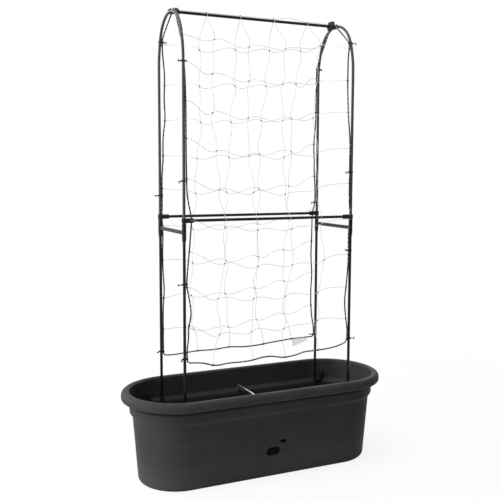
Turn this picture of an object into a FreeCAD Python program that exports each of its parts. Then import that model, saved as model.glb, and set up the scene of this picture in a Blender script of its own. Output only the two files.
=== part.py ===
"""Vertical vegetable planter: an oblong plastic trough with a tube trellis and a draped climbing net.

Millimetres, +Z up.  The origin is on the floor under the middle of the trough.  X runs along the
trough, and the front wall with the overflow openings faces -Y.
"""
import FreeCAD, Part
import math
import os
from FreeCAD import Vector

# Trough: a moulded oblong tub with half-round ends, a rolled rim and a stepped wall
RIM_LENGTH = 800.0
RIM_WIDTH = 316.0
TROUGH_HEIGHT = 257.0
WALL = 3.0
FLOOR = 4.0
RIM_HEIGHT = 27.0
RIM_OVERHANG = 20.5
RIM_TOP_ROUND = 13.0
RIM_LOWER_ROUND = 9.0
RIM_LIP = 11.0
RIM_INNER_ROUND = 6.0
BAND_HEIGHT = 60.0
BAND_DRAFT = 3.0
SHOULDER_STEP = 8.0
SHOULDER_DROP = 11.0
SHOULDER_ROUND = 5.0
WALL_DRAFT = 14.5
BASE_ROUND = 12.0
RESERVOIR_GROOVE = 76.0
GROOVES = 3
GROOVE_DROP = 19.0
GROOVE_PITCH = 10.0
GROOVE_WIDTH = 1.8
GROOVE_DEPTH = 0.7

# Overflow openings in the front wall, above the water reservoir
OVERFLOW_LEVEL = 77.0
OVERFLOW_LENGTH = 43.0
OVERFLOW_HEIGHT = 25.0
SCOOP_RADIUS = 60.0
SCOOP_DEPTH = 1.6
VENT_OFFSET = 31.0
VENT_LEVEL = 103.0
VENT_LENGTH = 20.0
VENT_HEIGHT = 10.0

# Trellis: plastic-coated steel tube
TUBE = 8.0
TUBE_WALL = 0.8
ARCH_OUT = 14.5
POST_INSET = 14.0
TOP_LEVEL = 1286.0
RAIL_LEVEL = 734.0
SIDE_RADIUS = 240.0
CROWN_EASE = 10.0
SEAT_GAP = 0.3

# Floor sockets that locate the posts' feet
SOCKET_OUTER = 16.0
SOCKET_HEIGHT = 24.0

# Post holders: collars with an arm that stands on the wall's inner shoulder
HOLDER_CLEARANCE = 0.5
COLLAR_OUTER = 14.5
COLLAR_HEIGHT = 28.0
COLLAR_ABOVE_SHOULDER = 10.0
ARM_WIDTH = 8.0
ARM_HEIGHT = 9.0
ARM_ANGLE = 33.0
HOOK_WIDTH = 11.0
HOOK_DEPTH = 7.0
HOOK_HEIGHT = 30.0

# Cross tie: a galvanised rod that keeps the long walls from spreading
TIE_ROD = 4.0
TIE_ABOVE_SHOULDER = 10.0
TIE_BEND = 6.0
TIE_BOSS = 9.0
TIE_BOSS_RISE = 7.0
TIE_SEAT_DEPTH = 5.0
TIE_FIT = 0.25
TIE_INSET = 1.5

# Side brackets: two sleeves and a flat bar, moulded in one piece
SLEEVE_OUTER = 11.5
SLEEVE_TIP = 10.0
SLEEVE_TAPER = 12.0
SLEEVE_BELOW_RAIL = 56.5
BAR_BELOW_RAIL = 32.0
BAR_HEIGHT = 10.0
BAR_THICKNESS = 5.0
BAR_EDGE_ROUND = 1.2
TUBE_FIT = 0.15
TUBE_END_GAP = 1.0

# Rail clips: a ring that snaps on an upright and a socket for a rail
CLIP_OUTER = 13.0
CLIP_REACH = 25.0
CLIP_WEB = 1.5
CLIP_MOUTH = 6.0
CLIP_ABOVE_SLEEVE = 1.0

# Net: knotted mesh that hangs over the top rail like a tent, out over the mid rails and down to its hem
NET_THREAD = 1.6
NET_THICKNESS = 1.2
NET_COLUMNS = 4
NET_SIDE_MESH = 0.92
NET_ROWS_ABOVE = 5
NET_ROWS_BELOW = 4
NET_TOP_SHARE = 0.79
NET_FOLD_SHARE = 0.73
NET_HEM_SHARE = 0.52
NET_SIDE_RISE = 10.0
NET_CORD_GAP = 1.5
NET_SWAY = 9.0
NET_LIFT = 8.0
NET_COLUMN_PHASE = 1.9
NET_ROW_PHASE = 2.7

# Border cord of the net, and what holds it
CORD = 4.0
CORD_GAP = 0.3
CORD_OUTBOARD = 1.0
CORD_PASS_GAP = 0.9
HEM_OUTBOARD = 0.5
SADDLE_SLACK = 0.5
TIE_BAND = 1.2
TIE_BAND_HEIGHT = 3.2
TIE_TAIL = 15.0
TIE_TAIL_THICKNESS = 1.6
TIE_TAIL_BALL = 3.4
KNOT_TURNS = 2

# Blank tag folded over the back hem
TAG_MARGIN = 3.0
TAG_DROP = 32.0
TAG_THICKNESS = 0.6

# Worked-out places
RIM_RADIUS = RIM_WIDTH / 2
END_CENTRE = RIM_LENGTH / 2 - RIM_RADIUS
BAND_TOP_RADIUS = RIM_RADIUS - RIM_OVERHANG
BAND_LOW_RADIUS = BAND_TOP_RADIUS - BAND_DRAFT
SHOULDER_RADIUS = BAND_LOW_RADIUS - SHOULDER_STEP
BASE_RADIUS = SHOULDER_RADIUS - WALL_DRAFT
BAND_LOW = TROUGH_HEIGHT - BAND_HEIGHT
SHOULDER_LOW = BAND_LOW - SHOULDER_DROP
TIE_LEVEL = BAND_LOW + TIE_ABOVE_SHOULDER
ARCH_X = END_CENTRE + ARCH_OUT
POST_Y = BASE_RADIUS - POST_INSET
CROWN_RADIUS = POST_Y - CROWN_EASE
FOOT_LEVEL = FLOOR + SEAT_GAP
BAR_LEVEL = RAIL_LEVEL - BAR_BELOW_RAIL
SLEEVE_LOW = RAIL_LEVEL - SLEEVE_BELOW_RAIL
SLEEVE_TOP = RAIL_LEVEL - CLIP_OUTER / 2 - CLIP_ABOVE_SLEEVE
TUBE_BORE = TUBE + 2 * TUBE_FIT
ARCH_TURN = math.acos((SIDE_RADIUS - POST_Y) / (SIDE_RADIUS - CROWN_RADIUS))
SPRING_LEVEL = TOP_LEVEL - CROWN_RADIUS - (SIDE_RADIUS - CROWN_RADIUS) * math.sin(ARCH_TURN)
NET_INNER = POST_Y + TUBE / 2 + SEAT_GAP
SADDLE_RADIUS = CLIP_OUTER / 2 + CORD_GAP + CORD / 2
SADDLE_TOP = TOP_LEVEL + SADDLE_RADIUS
# The cord is tied beside a post at these offsets: inboard along X, and a little outboard along Y
CORD_SPACING = TUBE / 2 + CORD / 2 + 1.5 * CORD_GAP
CORD_INBOARD = math.sqrt(CORD_SPACING ** 2 - CORD_OUTBOARD ** 2)
CORD_X = ARCH_X - CORD_INBOARD
APEX_INBOARD = CLIP_OUTER / 2 + CORD
HEM_Y = POST_Y + CORD_OUTBOARD + HEM_OUTBOARD
# How far outboard of its tied place the cord goes to pass a rail clip
PASS = CLIP_OUTER / 2 + CORD / 2 + CORD_PASS_GAP - CORD_OUTBOARD

UP = Vector(0, 0, 1)
ORIGIN = Vector(0, 0, 0)


def save(node, shape):
    """Writes one sub-part."""
    shape.exportStep(os.path.join("parts", node + ".step"))


def side_name(side_x, side_y):
    """Front or back, left or right, in a maker's words."""
    depth = "front" if side_y < 0 else "back"
    end = "left" if side_x < 0 else "right"
    return depth + "_" + end


def rounded_wire(corners, place):
    """A closed wire through (u, v, fillet radius) corners, put in space by place(u, v)."""
    count = len(corners)
    joints = []
    for index, (u, v, radius) in enumerate(corners):
        corner = Vector(u, v, 0)
        before = Vector(*corners[index - 1][:2], 0)
        after = Vector(*corners[(index + 1) % count][:2], 0)
        if not radius:
            joints.append((corner, None, corner))
            continue
        back = (before - corner).normalize()
        ahead = (after - corner).normalize()
        half = back.getAngle(ahead) / 2
        reach = radius / math.tan(half)
        middle = (back + ahead).normalize() * (radius / math.sin(half) - radius)
        joints.append((corner + back * reach, corner + middle, corner + ahead * reach))
    edges = []
    for index, (start, middle, end) in enumerate(joints):
        last_end = joints[index - 1][2]
        edges.append(Part.LineSegment(place(last_end.x, last_end.y), place(start.x, start.y)).toShape())
        if middle is not None:
            arc = Part.Arc(place(start.x, start.y), place(middle.x, middle.y), place(end.x, end.y))
            edges.append(arc.toShape())
    return Part.Wire(edges)


def oblong_solid(corners):
    """Sweeps a (radius, height) profile round the oblong: two half turns and two straight sides."""
    right_face = Part.Face(rounded_wire(corners, lambda u, v: Vector(END_CENTRE, -u, v)))
    left_face = Part.Face(rounded_wire(corners, lambda u, v: Vector(-END_CENTRE, u, v)))
    right_end = right_face.revolve(Vector(END_CENTRE, 0, 0), UP, 180)
    left_end = left_face.revolve(Vector(-END_CENTRE, 0, 0), UP, 180)
    front = right_face.extrude(Vector(-2 * END_CENTRE, 0, 0))
    back = left_face.extrude(Vector(2 * END_CENTRE, 0, 0))
    return right_end.fuse([front, left_end, back]).removeSplitter()


def wall_radius(level):
    """Outer radius of the leaning lower wall at a height."""
    return BASE_RADIUS + WALL_DRAFT * level / SHOULDER_LOW


def inner_corners(clearance):
    """The trough's hollow, drawn in from the walls and the floor by a clearance."""
    drop = WALL + clearance
    top = TROUGH_HEIGHT + RIM_HEIGHT
    floor = FLOOR + clearance
    round_off = BASE_ROUND - WALL
    return [
        (0, floor, 0),
        (wall_radius(floor) - drop, floor, round_off),
        (SHOULDER_RADIUS - drop, SHOULDER_LOW, SHOULDER_ROUND),
        (BAND_LOW_RADIUS - drop, BAND_LOW, SHOULDER_ROUND),
        (BAND_TOP_RADIUS - drop, TROUGH_HEIGHT, 0),
        (BAND_TOP_RADIUS - drop, top, 0),
        (0, top, 0),
    ]


def trough_corners():
    """The trough's section: base, grooved wall, shoulder, band, rolled rim, then the inside back down."""
    lip = RIM_RADIUS - RIM_LIP
    skirt_low = TROUGH_HEIGHT - RIM_HEIGHT
    corners = [(0, 0, 0), (BASE_RADIUS, 0, BASE_ROUND)]
    shoulder_grooves = [SHOULDER_LOW - GROOVE_DROP - GROOVE_PITCH * groove for groove in range(GROOVES)]
    for level in [RESERVOIR_GROOVE] + shoulder_grooves[::-1]:
        low = level - GROOVE_WIDTH / 2
        high = level + GROOVE_WIDTH / 2
        corners.append((wall_radius(low), low, 0))
        corners.append((wall_radius(level) - GROOVE_DEPTH, level, 0))
        corners.append((wall_radius(high), high, 0))
    corners += [
        (SHOULDER_RADIUS, SHOULDER_LOW, SHOULDER_ROUND),
        (BAND_LOW_RADIUS, BAND_LOW, SHOULDER_ROUND),
        (BAND_TOP_RADIUS, TROUGH_HEIGHT - WALL, WALL),
        (RIM_RADIUS - WALL, TROUGH_HEIGHT - WALL, RIM_TOP_ROUND - WALL),
        (RIM_RADIUS - WALL, skirt_low + WALL, RIM_LOWER_ROUND - WALL),
        (lip, skirt_low + WALL, 0),
        (lip, skirt_low, 0),
        (RIM_RADIUS, skirt_low, RIM_LOWER_ROUND),
        (RIM_RADIUS, TROUGH_HEIGHT, RIM_TOP_ROUND),
    ]
    inside = inner_corners(0)
    mouth = BAND_TOP_RADIUS - WALL
    corners.append((mouth, TROUGH_HEIGHT, RIM_INNER_ROUND))
    corners += [inside[3], inside[2], inside[1], inside[0]]
    return corners


def obround_cut(middle_x, level, length, height):
    """A level rounded slot that passes through the front wall alone."""
    half = height / 2
    low = level - half
    high = level + half
    left = middle_x - length / 2 + half
    right = middle_x + length / 2 - half

    def place(x, z):
        return Vector(x, -RIM_RADIUS, z)

    outline = Part.Wire([
        Part.LineSegment(place(left, low), place(right, low)).toShape(),
        Part.Arc(place(right, low), place(right + half, level), place(right, high)).toShape(),
        Part.LineSegment(place(right, high), place(left, high)).toShape(),
        Part.Arc(place(left, high), place(left - half, level), place(left, low)).toShape(),
    ])
    inside = wall_radius(level) - 3 * WALL
    return Part.Face(outline).extrude(Vector(0, RIM_RADIUS - inside, 0))


def tie_end_y():
    """Middle of a cross tie's leg, just inside the shoulder's inner face."""
    return BAND_LOW_RADIUS - WALL - SHOULDER_STEP / 2 - TIE_INSET


def make_trough():
    """The moulded tub with its floor sockets, tie bosses and overflow openings."""
    tub = oblong_solid(trough_corners())
    for side_x in (-1, 1):
        for side_y in (-1, 1):
            foot = Vector(side_x * ARCH_X, side_y * POST_Y, FLOOR - WALL / 2)
            socket = Part.makeCylinder(SOCKET_OUTER / 2, SOCKET_HEIGHT, foot)
            bore_foot = Vector(foot.x, foot.y, FLOOR)
            bore = Part.makeCylinder(TUBE / 2 + HOLDER_CLEARANCE, SOCKET_HEIGHT, bore_foot)
            tub = tub.fuse(socket).cut(bore)
    grown_hollow = oblong_solid(inner_corners(-WALL / 2))
    boss_top = SHOULDER_LOW + TIE_BOSS_RISE
    for side_y in (-1, 1):
        low = Vector(0, side_y * tie_end_y(), SHOULDER_LOW - SHOULDER_DROP)
        boss = Part.makeCylinder(TIE_BOSS / 2, boss_top - low.z, low)
        seat = Vector(0, low.y, boss_top - TIE_SEAT_DEPTH)
        hole = Part.makeCylinder(TIE_ROD / 2 + TIE_FIT, TIE_SEAT_DEPTH + 1, seat)
        tub = tub.fuse(boss.common(grown_hollow)).cut(hole)
    opening = obround_cut(0, OVERFLOW_LEVEL, OVERFLOW_LENGTH, OVERFLOW_HEIGHT)
    vent = obround_cut(VENT_OFFSET, VENT_LEVEL, VENT_LENGTH, VENT_HEIGHT)
    scoop_level = OVERFLOW_LEVEL - OVERFLOW_HEIGHT / 2
    scoop_y = -(wall_radius(scoop_level) - SCOOP_DEPTH + SCOOP_RADIUS)
    scoop = Part.makeSphere(SCOOP_RADIUS, Vector(0, scoop_y, scoop_level))
    return tub.cut([opening, vent, scoop]).removeSplitter()


def wall_reach(start, direction, radius):
    """How far a level line from start runs before it meets the oblong of that radius."""
    offset = Vector(start.x - END_CENTRE, start.y, 0)
    along = offset.dot(direction)
    to_end = -along + math.sqrt(along * along - offset.dot(offset) + radius * radius)
    if start.x + direction.x * to_end >= END_CENTRE:
        return to_end
    return (radius - start.y) / direction.y


def make_holder(side_x, side_y):
    """A collar round one post with an arm and an upright hook that bear on the wall's shoulder."""
    start = Vector(ARCH_X, POST_Y, 0)
    turn = math.radians(ARM_ANGLE)
    direction = Vector(math.cos(turn), math.sin(turn), 0)
    collar_low = BAND_LOW + COLLAR_ABOVE_SHOULDER - COLLAR_HEIGHT
    collar = Part.makeCylinder(COLLAR_OUTER / 2, COLLAR_HEIGHT, start + UP * collar_low)
    reach = wall_reach(start, direction, BAND_LOW_RADIUS)
    arm = Part.makeBox(reach, ARM_WIDTH, ARM_HEIGHT, Vector(0, -ARM_WIDTH / 2, SHOULDER_LOW))
    hook_start = wall_reach(start, direction, BAND_LOW_RADIUS - WALL) - HOOK_DEPTH
    hook_corner = Vector(hook_start, -HOOK_WIDTH / 2, SHOULDER_LOW)
    hook = Part.makeBox(HOOK_DEPTH + HOOK_WIDTH, HOOK_WIDTH, HOOK_HEIGHT, hook_corner)
    bracket = arm.fuse(hook)
    bracket.rotate(ORIGIN, UP, ARM_ANGLE)
    bracket.translate(start)
    holder = collar.fuse(bracket.common(oblong_solid(inner_corners(SEAT_GAP))))
    bore = Part.makeCylinder(TUBE / 2 + HOLDER_CLEARANCE, TROUGH_HEIGHT, start)
    holder = holder.cut(bore).removeSplitter()
    if side_x < 0:
        holder = holder.mirror(ORIGIN, Vector(1, 0, 0))
    if side_y < 0:
        holder = holder.mirror(ORIGIN, Vector(0, 1, 0))
    return holder


def round_bar(edges, diameter):
    """A round bar or tube's outside along joined lines and arcs."""
    path = Part.Wire(edges)
    start = edges[0].valueAt(edges[0].FirstParameter)
    heading = edges[0].tangentAt(edges[0].FirstParameter)
    section = Part.Wire([Part.makeCircle(diameter / 2, start, heading)])
    return path.makePipeShell([section], True, False)


def make_cross_tie():
    """A rod with both ends turned down into the bosses on the walls' shoulders."""
    end_y = tie_end_y()
    low = SHOULDER_LOW + TIE_BOSS_RISE - TIE_SEAT_DEPTH + SEAT_GAP
    slant = TIE_BEND * math.sqrt(0.5)
    edges = []
    corner_y = end_y - TIE_BEND
    corner_z = TIE_LEVEL - TIE_BEND
    front = [
        Vector(0, -end_y, low),
        Vector(0, -end_y, corner_z),
        Vector(0, -corner_y - slant, corner_z + slant),
        Vector(0, -corner_y, TIE_LEVEL),
    ]
    back = [Vector(0, -point.y, point.z) for point in front]
    edges.append(Part.LineSegment(front[0], front[1]).toShape())
    edges.append(Part.Arc(front[1], front[2], front[3]).toShape())
    edges.append(Part.LineSegment(front[3], back[3]).toShape())
    edges.append(Part.Arc(back[3], back[2], back[1]).toShape())
    edges.append(Part.LineSegment(back[1], back[0]).toShape())
    return round_bar(edges, TIE_ROD)


def arch_point(angle):
    """Point on the front side's large arc, at an angle above the spring line."""
    centre_y = POST_Y - SIDE_RADIUS
    y = centre_y + SIDE_RADIUS * math.cos(angle)
    return Vector(0, -y, SPRING_LEVEL + SIDE_RADIUS * math.sin(angle))


def arch_edges(foot_level):
    """One arch's centre line in the plane X = 0: leg, side arc, crown, side arc, leg."""
    foot = Vector(0, -POST_Y, foot_level)
    spring = arch_point(0)
    middle = arch_point(ARCH_TURN / 2)
    joint = arch_point(ARCH_TURN)
    crown = Vector(0, 0, TOP_LEVEL)

    def across(point):
        return Vector(0, -point.y, point.z)

    return [
        Part.LineSegment(foot, spring).toShape(),
        Part.Arc(spring, middle, joint).toShape(),
        Part.Arc(joint, crown, across(joint)).toShape(),
        Part.Arc(across(joint), across(middle), across(spring)).toShape(),
        Part.LineSegment(across(spring), across(foot)).toShape(),
    ]


def make_arch(side_x):
    """A tube bent to an arch whose legs end inside the side bracket's sleeves."""
    foot_level = BAR_LEVEL + TUBE_END_GAP / 2
    outside = round_bar(arch_edges(foot_level), TUBE)
    inside = round_bar(arch_edges(foot_level), TUBE - 2 * TUBE_WALL)
    arch = outside.cut(inside)
    arch.translate(Vector(side_x * ARCH_X, 0, 0))
    return arch


def straight_tube(start, direction, length):
    """A straight length of the trellis tube."""
    outside = Part.makeCylinder(TUBE / 2, length, start, direction)
    return outside.cut(Part.makeCylinder(TUBE / 2 - TUBE_WALL, length, start, direction))


def make_lower_post(side_x, side_y):
    """A straight post from the floor socket up into a bracket sleeve."""
    foot = Vector(side_x * ARCH_X, side_y * POST_Y, FOOT_LEVEL)
    return straight_tube(foot, UP, BAR_LEVEL - TUBE_END_GAP / 2 - FOOT_LEVEL)


def make_side_bracket(side_x):
    """Two sleeves that join posts to arch legs, and the flat bar that ties them together."""
    bracket = Part.makeBox(BAR_THICKNESS, 2 * POST_Y, BAR_HEIGHT,
                           Vector(-BAR_THICKNESS / 2, -POST_Y, BAR_LEVEL - BAR_HEIGHT / 2))
    long_edges = [edge for edge in bracket.Edges if abs(edge.tangentAt(edge.FirstParameter).y) > 0.9]
    bracket = bracket.makeFillet(BAR_EDGE_ROUND, long_edges)
    bores = []
    for side_y in (-1, 1):
        low = Vector(0, side_y * POST_Y, SLEEVE_LOW)
        tip = Part.makeCone(SLEEVE_TIP / 2, SLEEVE_OUTER / 2, SLEEVE_TAPER, low)
        body_low = low + UP * SLEEVE_TAPER
        body = Part.makeCylinder(SLEEVE_OUTER / 2, SLEEVE_TOP - body_low.z, body_low)
        bracket = bracket.fuse([tip, body])
        bores.append(Part.makeCylinder(TUBE_BORE / 2, SLEEVE_TOP - SLEEVE_LOW, low))
    bracket = bracket.cut(bores).removeSplitter()
    bracket.translate(Vector(side_x * ARCH_X, 0, 0))
    return bracket


def make_clip(upright_axis, upright_bore, centre, side_x):
    """A ring on an upright with a rail socket towards the middle and a snap mouth on the outside."""
    half = CLIP_OUTER / 2
    inward = Vector(-side_x, 0, 0)
    ring = Part.makeCylinder(half, CLIP_OUTER, centre - upright_axis * half, upright_axis)
    socket = Part.makeCylinder(half, CLIP_REACH, centre, inward)
    bore_start = centre + inward * (TUBE_BORE / 2 + CLIP_WEB)
    rail_bore = Part.makeCylinder(TUBE_BORE / 2, CLIP_REACH, bore_start, inward)
    across = inward.cross(upright_axis)
    corner = centre - across * (CLIP_MOUTH / 2) - upright_axis * CLIP_OUTER
    mouth = Part.makePolygon([
        corner,
        corner - inward * CLIP_OUTER,
        corner - inward * CLIP_OUTER + across * CLIP_MOUTH,
        corner + across * CLIP_MOUTH,
        corner,
    ])
    mouth = Part.Face(mouth).extrude(upright_axis * 2 * CLIP_OUTER)
    return ring.fuse(socket).cut([upright_bore, rail_bore, mouth]).removeSplitter()


def make_rail_clip(side_x, side_y):
    """A clip on an arch leg, just above the bracket's sleeve."""
    centre = Vector(side_x * ARCH_X, side_y * POST_Y, RAIL_LEVEL)
    bore = Part.makeCylinder(TUBE_BORE / 2, 2 * CLIP_OUTER, centre - UP * CLIP_OUTER)
    return make_clip(UP, bore, centre, side_x)


def make_top_clip(side_x):
    """A clip on an arch's crown: its bore follows the crown's bend."""
    bore = round_bar(arch_edges(BAR_LEVEL), TUBE_BORE)
    bore.translate(Vector(side_x * ARCH_X, 0, 0))
    centre = Vector(side_x * ARCH_X, 0, TOP_LEVEL)
    return make_clip(Vector(0, 1, 0), bore, centre, side_x)


def make_rail(y, level):
    """A level rail between the sockets of two clips."""
    end = ARCH_X - TUBE_BORE / 2 - CLIP_WEB - SEAT_GAP
    return straight_tube(Vector(-end, y, level), Vector(1, 0, 0), 2 * end)


def line_meet(point_a, way_a, point_b, way_b):
    """Where two lines in the net's plane cross."""
    cross = way_a.x * way_b.y - way_a.y * way_b.x
    gap = point_b - point_a
    return point_a + way_a * ((gap.x * way_b.y - gap.y * way_b.x) / cross)


def drawn_in(polygon):
    """A mesh opening: the cell between four knots, drawn in by half a thread on each side."""
    sides = []
    for index, point in enumerate(polygon):
        way = (polygon[(index + 1) % len(polygon)] - point).normalize()
        inward = Vector(-way.y, way.x, 0) * (NET_THREAD / 2)
        sides.append((point + inward, way))
    return [line_meet(*sides[index - 1], *sides[index]) for index in range(len(sides))]


def net_levels(top, bottom, rows, first, last):
    """Heights of evenly spaced rows between two levels, first and last shares of a mesh from them."""
    mesh = (top - bottom) / (first + rows - 1 + last)
    return [top - mesh * (first + row) for row in range(rows)]


def net_row(drop, row):
    """A row of knots at a distance down a flat panel: straight at a fold, row 0, else out of line."""
    pitch = 2 * CORD_X / (NET_COLUMNS - 1 + 2 * NET_SIDE_MESH)
    line = []
    for column in range(NET_COLUMNS):
        x = pitch * (column - (NET_COLUMNS - 1) / 2)
        if row:
            x += NET_SWAY * math.sin(NET_COLUMN_PHASE * column + NET_ROW_PHASE * row)
        lift = NET_LIFT * math.sin(NET_ROW_PHASE * column - NET_COLUMN_PHASE * row) if row else 0
        line.append(Vector(x, lift - drop, 0))
    return line


def net_face(knots):
    """One flat panel of net as a face: its outline half a thread outside the knots, and its mesh openings."""
    half = NET_THREAD / 2
    top = [knot + Vector(0, half, 0) for knot in knots[0]]
    bottom = [knot - Vector(0, half, 0) for knot in knots[-1]]
    right = [line[-1] + Vector(half, 0, 0) for line in knots]
    left = [line[0] - Vector(half, 0, 0) for line in knots]
    outline = top + right + bottom[::-1] + left[::-1]
    wires = [Part.makePolygon(outline + [outline[0]])]
    for upper, lower in zip(knots, knots[1:]):
        for column in range(NET_COLUMNS - 1):
            cell = [lower[column], lower[column + 1], upper[column + 1], upper[column]]
            hole = drawn_in(cell)
            wires.append(Part.makePolygon(hole + [hole[0]]))
    return Part.makeFace(wires, "Part::FaceMakerBullseye")


def strand(start, end):
    """A straight thread from a knot of the net to the border cord."""
    return Part.makeCylinder(NET_THREAD / 2, (end - start).Length, start, end - start)


def side_strands(line, left_leg, right_leg):
    """Threads from beside a row's outer knots, given in space, a little up to the cord at each upright."""
    threads = []
    for knot, leg, side_x in ((line[0], left_leg, -1), (line[-1], right_leg, 1)):
        end = cord_at(leg, knot.z + NET_SIDE_RISE)
        end.x = side_x * (end.x - CORD / 2 - NET_CORD_GAP)
        threads.append(strand(knot + Vector(side_x * NET_THREAD, 0, 0), end))
    return threads


def facing(shape, side_y):
    """A shape made for the back, turned to the front where that is its side."""
    if side_y < 0:
        return shape.mirror(ORIGIN, Vector(0, 1, 0))
    return shape


def make_hanging_net(side_y, left_leg, hem, right_leg):
    """The upright panel from the mid rail down, and the threads from it to the cord and the hem."""
    hem_top = frame_level(max(height for share, height in hem))
    levels = net_levels(RAIL_LEVEL, hem_top, NET_ROWS_BELOW, 1 - NET_FOLD_SHARE, NET_HEM_SHARE)
    drops = [RAIL_LEVEL - level for level in levels]
    knots = [net_row(0, 0)] + [net_row(drop, row) for row, drop in enumerate(drops, 1)]
    face = net_face(knots)
    face.rotate(ORIGIN, Vector(1, 0, 0), 90)
    face.translate(Vector(0, NET_INNER, RAIL_LEVEL))
    panel = face.extrude(Vector(0, NET_THICKNESS, 0))
    middle = NET_INNER + NET_THICKNESS / 2
    placed = [[Vector(knot.x, middle, RAIL_LEVEL + knot.y) for knot in line] for line in knots]
    threads = []
    for line in placed[1:]:
        threads += side_strands(line, left_leg, right_leg)
    for knot in placed[-1]:
        end = Vector(knot.x, HEM_Y, hem_level(hem, knot.x) + CORD / 2 + NET_CORD_GAP)
        threads.append(strand(knot - UP * NET_THREAD, end))
    return facing(panel, side_y), [facing(thread, side_y) for thread in threads]


def make_sloping_net(side_y, left_leg, right_leg):
    """The tent's side from the top rail down to the mid rail, and the threads from it to the cord."""
    stand_off = TUBE / 2 + SEAT_GAP
    fold = Vector(0, NET_INNER + NET_THICKNESS / 2, RAIL_LEVEL + NET_THREAD)
    rail = Vector(0, 0, TOP_LEVEL)
    span = rail - fold
    lean = math.atan2(span.z, -span.y) + math.asin(stand_off / span.Length)
    down = Vector(0, math.cos(lean), -math.sin(lean))
    out = Vector(0, math.sin(lean), math.cos(lean))
    ridge = fold - down * (fold.y / down.y)
    trim = (ridge.z - TOP_LEVEL - TUBE / 2) / -down.z
    levels = net_levels(TOP_LEVEL, RAIL_LEVEL, NET_ROWS_ABOVE, NET_TOP_SHARE, NET_FOLD_SHARE)
    drops = [(ridge.z - level) / -down.z - trim for level in levels]
    length = (fold - ridge).Length - trim - NET_THREAD / 2
    knots = [net_row(0, 0)] + [net_row(drop, row) for row, drop in enumerate(drops, 1)] + [net_row(length, 0)]
    top = ridge + down * trim
    turn = FreeCAD.Matrix(1, 0, 0, 0,
                          0, -down.y, out.y, top.y,
                          0, -down.z, out.z, top.z,
                          0, 0, 0, 1)
    panel = net_face(knots).extrude(Vector(0, 0, NET_THICKNESS)).transformGeometry(turn)
    to_middle = out * (NET_THICKNESS / 2)
    threads = []
    for line in knots[1:-1]:
        placed = [turn.multVec(knot) + to_middle for knot in line]
        threads += side_strands(placed, left_leg, right_leg)
    return facing(panel, side_y), [facing(thread, side_y) for thread in threads]


# Routes of the border cord from apex to corner, as (inboard, outboard, height) from its tied place
# beside the upright.  A tight bend at a tie or corner has its own radius as a fourth number.
# A hem's points are (share of the half width between its legs, height).  All heights are written for
# rails at the drawn levels.
DRAWN_RAIL = 734.0
DRAWN_TOP = 1286.0
DRAWN_CLEAR = 40.0
FRONT_LEFT_LEG = [
    (0, 0, 1152, 25), (0, 0, 836), (3.1, 1.0, 790), (8.1, 3.0, 764), (10.4, PASS, DRAWN_RAIL + 8),
    (10.4, PASS - 0.2, DRAWN_RAIL - 12), (9.6, 3.0, 692), (7.1, 1.5, 655), (2.6, 0.5, 608), (0, 0, 572, 25),
    (0.1, 0, 556), (5.1, 0.5, 535), (10.9, 1.0, 500), (11.2, 1.0, 476), (3.4, 0.5, 448), (4.2, 0.5, 418),
    (0.8, 0.1, 390), (0, 0, 374), (0.1, 0, 358, 30), (1.1, 0.5, 344, 12),
]
FRONT_HEM = [
    (-0.896, 344), (-0.796, 344.5), (-0.676, 338.5), (-0.524, 341), (-0.384, 339.5), (-0.220, 341),
    (-0.112, 347), (0.024, 346.5), (0.140, 339), (0.248, 340), (0.340, 343.5), (0.420, 349.5),
    (0.568, 349), (0.728, 350.5), (0.864, 354.5),
]
FRONT_RIGHT_LEG = [
    (0, 0, 1231.5, 25), (0, 0, 1216.5, 20), (6.6, -2.5, 1190), (10.1, -1.7, 1156), (11.8, 0.5, 1112),
    (10.1, 0.5, 1062), (7.1, 0.5, 1012), (1.6, 0.5, 966), (0, 0, 930), (0.6, 0.2, 900), (0, 0, 868),
    (0.1, 0, 800), (0.6, 2.0, 772), (1.6, PASS, DRAWN_RAIL + 12), (2.0, PASS - 0.1, DRAWN_RAIL - 10),
    (2.2, 3.0, 698), (1.8, 1.0, 668), (0, 0, 640), (0.2, 0, 598), (4.1, 0.5, 552), (7.6, 1.0, 522),
    (10.9, 1.0, 496), (10.1, 1.0, 468), (6.6, 1.0, 440), (2.6, 0.5, 412), (0, 0, 390),
    (0.1, 0, 368, 30), (1.1, 0.5, 354, 12),
]
BACK_LEFT_LEG = [
    (0, 0, 1231.5, 25), (0, 0, 1216.5, 20), (2.6, -1.5, 1190), (7.6, -1.1, 1158), (11.1, 0.5, 1120),
    (8.1, 0.5, 1064), (11.1, 0.5, 1022), (10.1, 0.5, 998), (5.1, 0.5, 965), (3.6, 0.5, 925),
    (4.6, 0.5, 900), (1.6, 0.2, 868), (0, 0, 840), (0.1, 0, 788), (1.0, 2.0, 768),
    (1.8, PASS, DRAWN_RAIL + 10), (2.2, PASS - 0.1, DRAWN_RAIL - 12), (2.2, 3.0, 698), (1.8, 1.0, 668),
    (0, 0, 640), (0.1, 0, 596), (2.1, 0.3, 556), (4.9, 0.5, 526), (2.6, 0.5, 498), (0, 0, 462),
    (0.1, 0, 346, 30), (1.1, 0.5, 330, 12),
]
BACK_HEM = [
    (-0.888, 329), (-0.744, 330.5), (-0.572, 334), (-0.368, 331), (-0.192, 335.5), (-0.080, 333.5),
    (0.032, 330.5), (0.200, 331), (0.352, 335), (0.528, 338), (0.696, 341.5), (0.904, 341.6),
]
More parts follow.
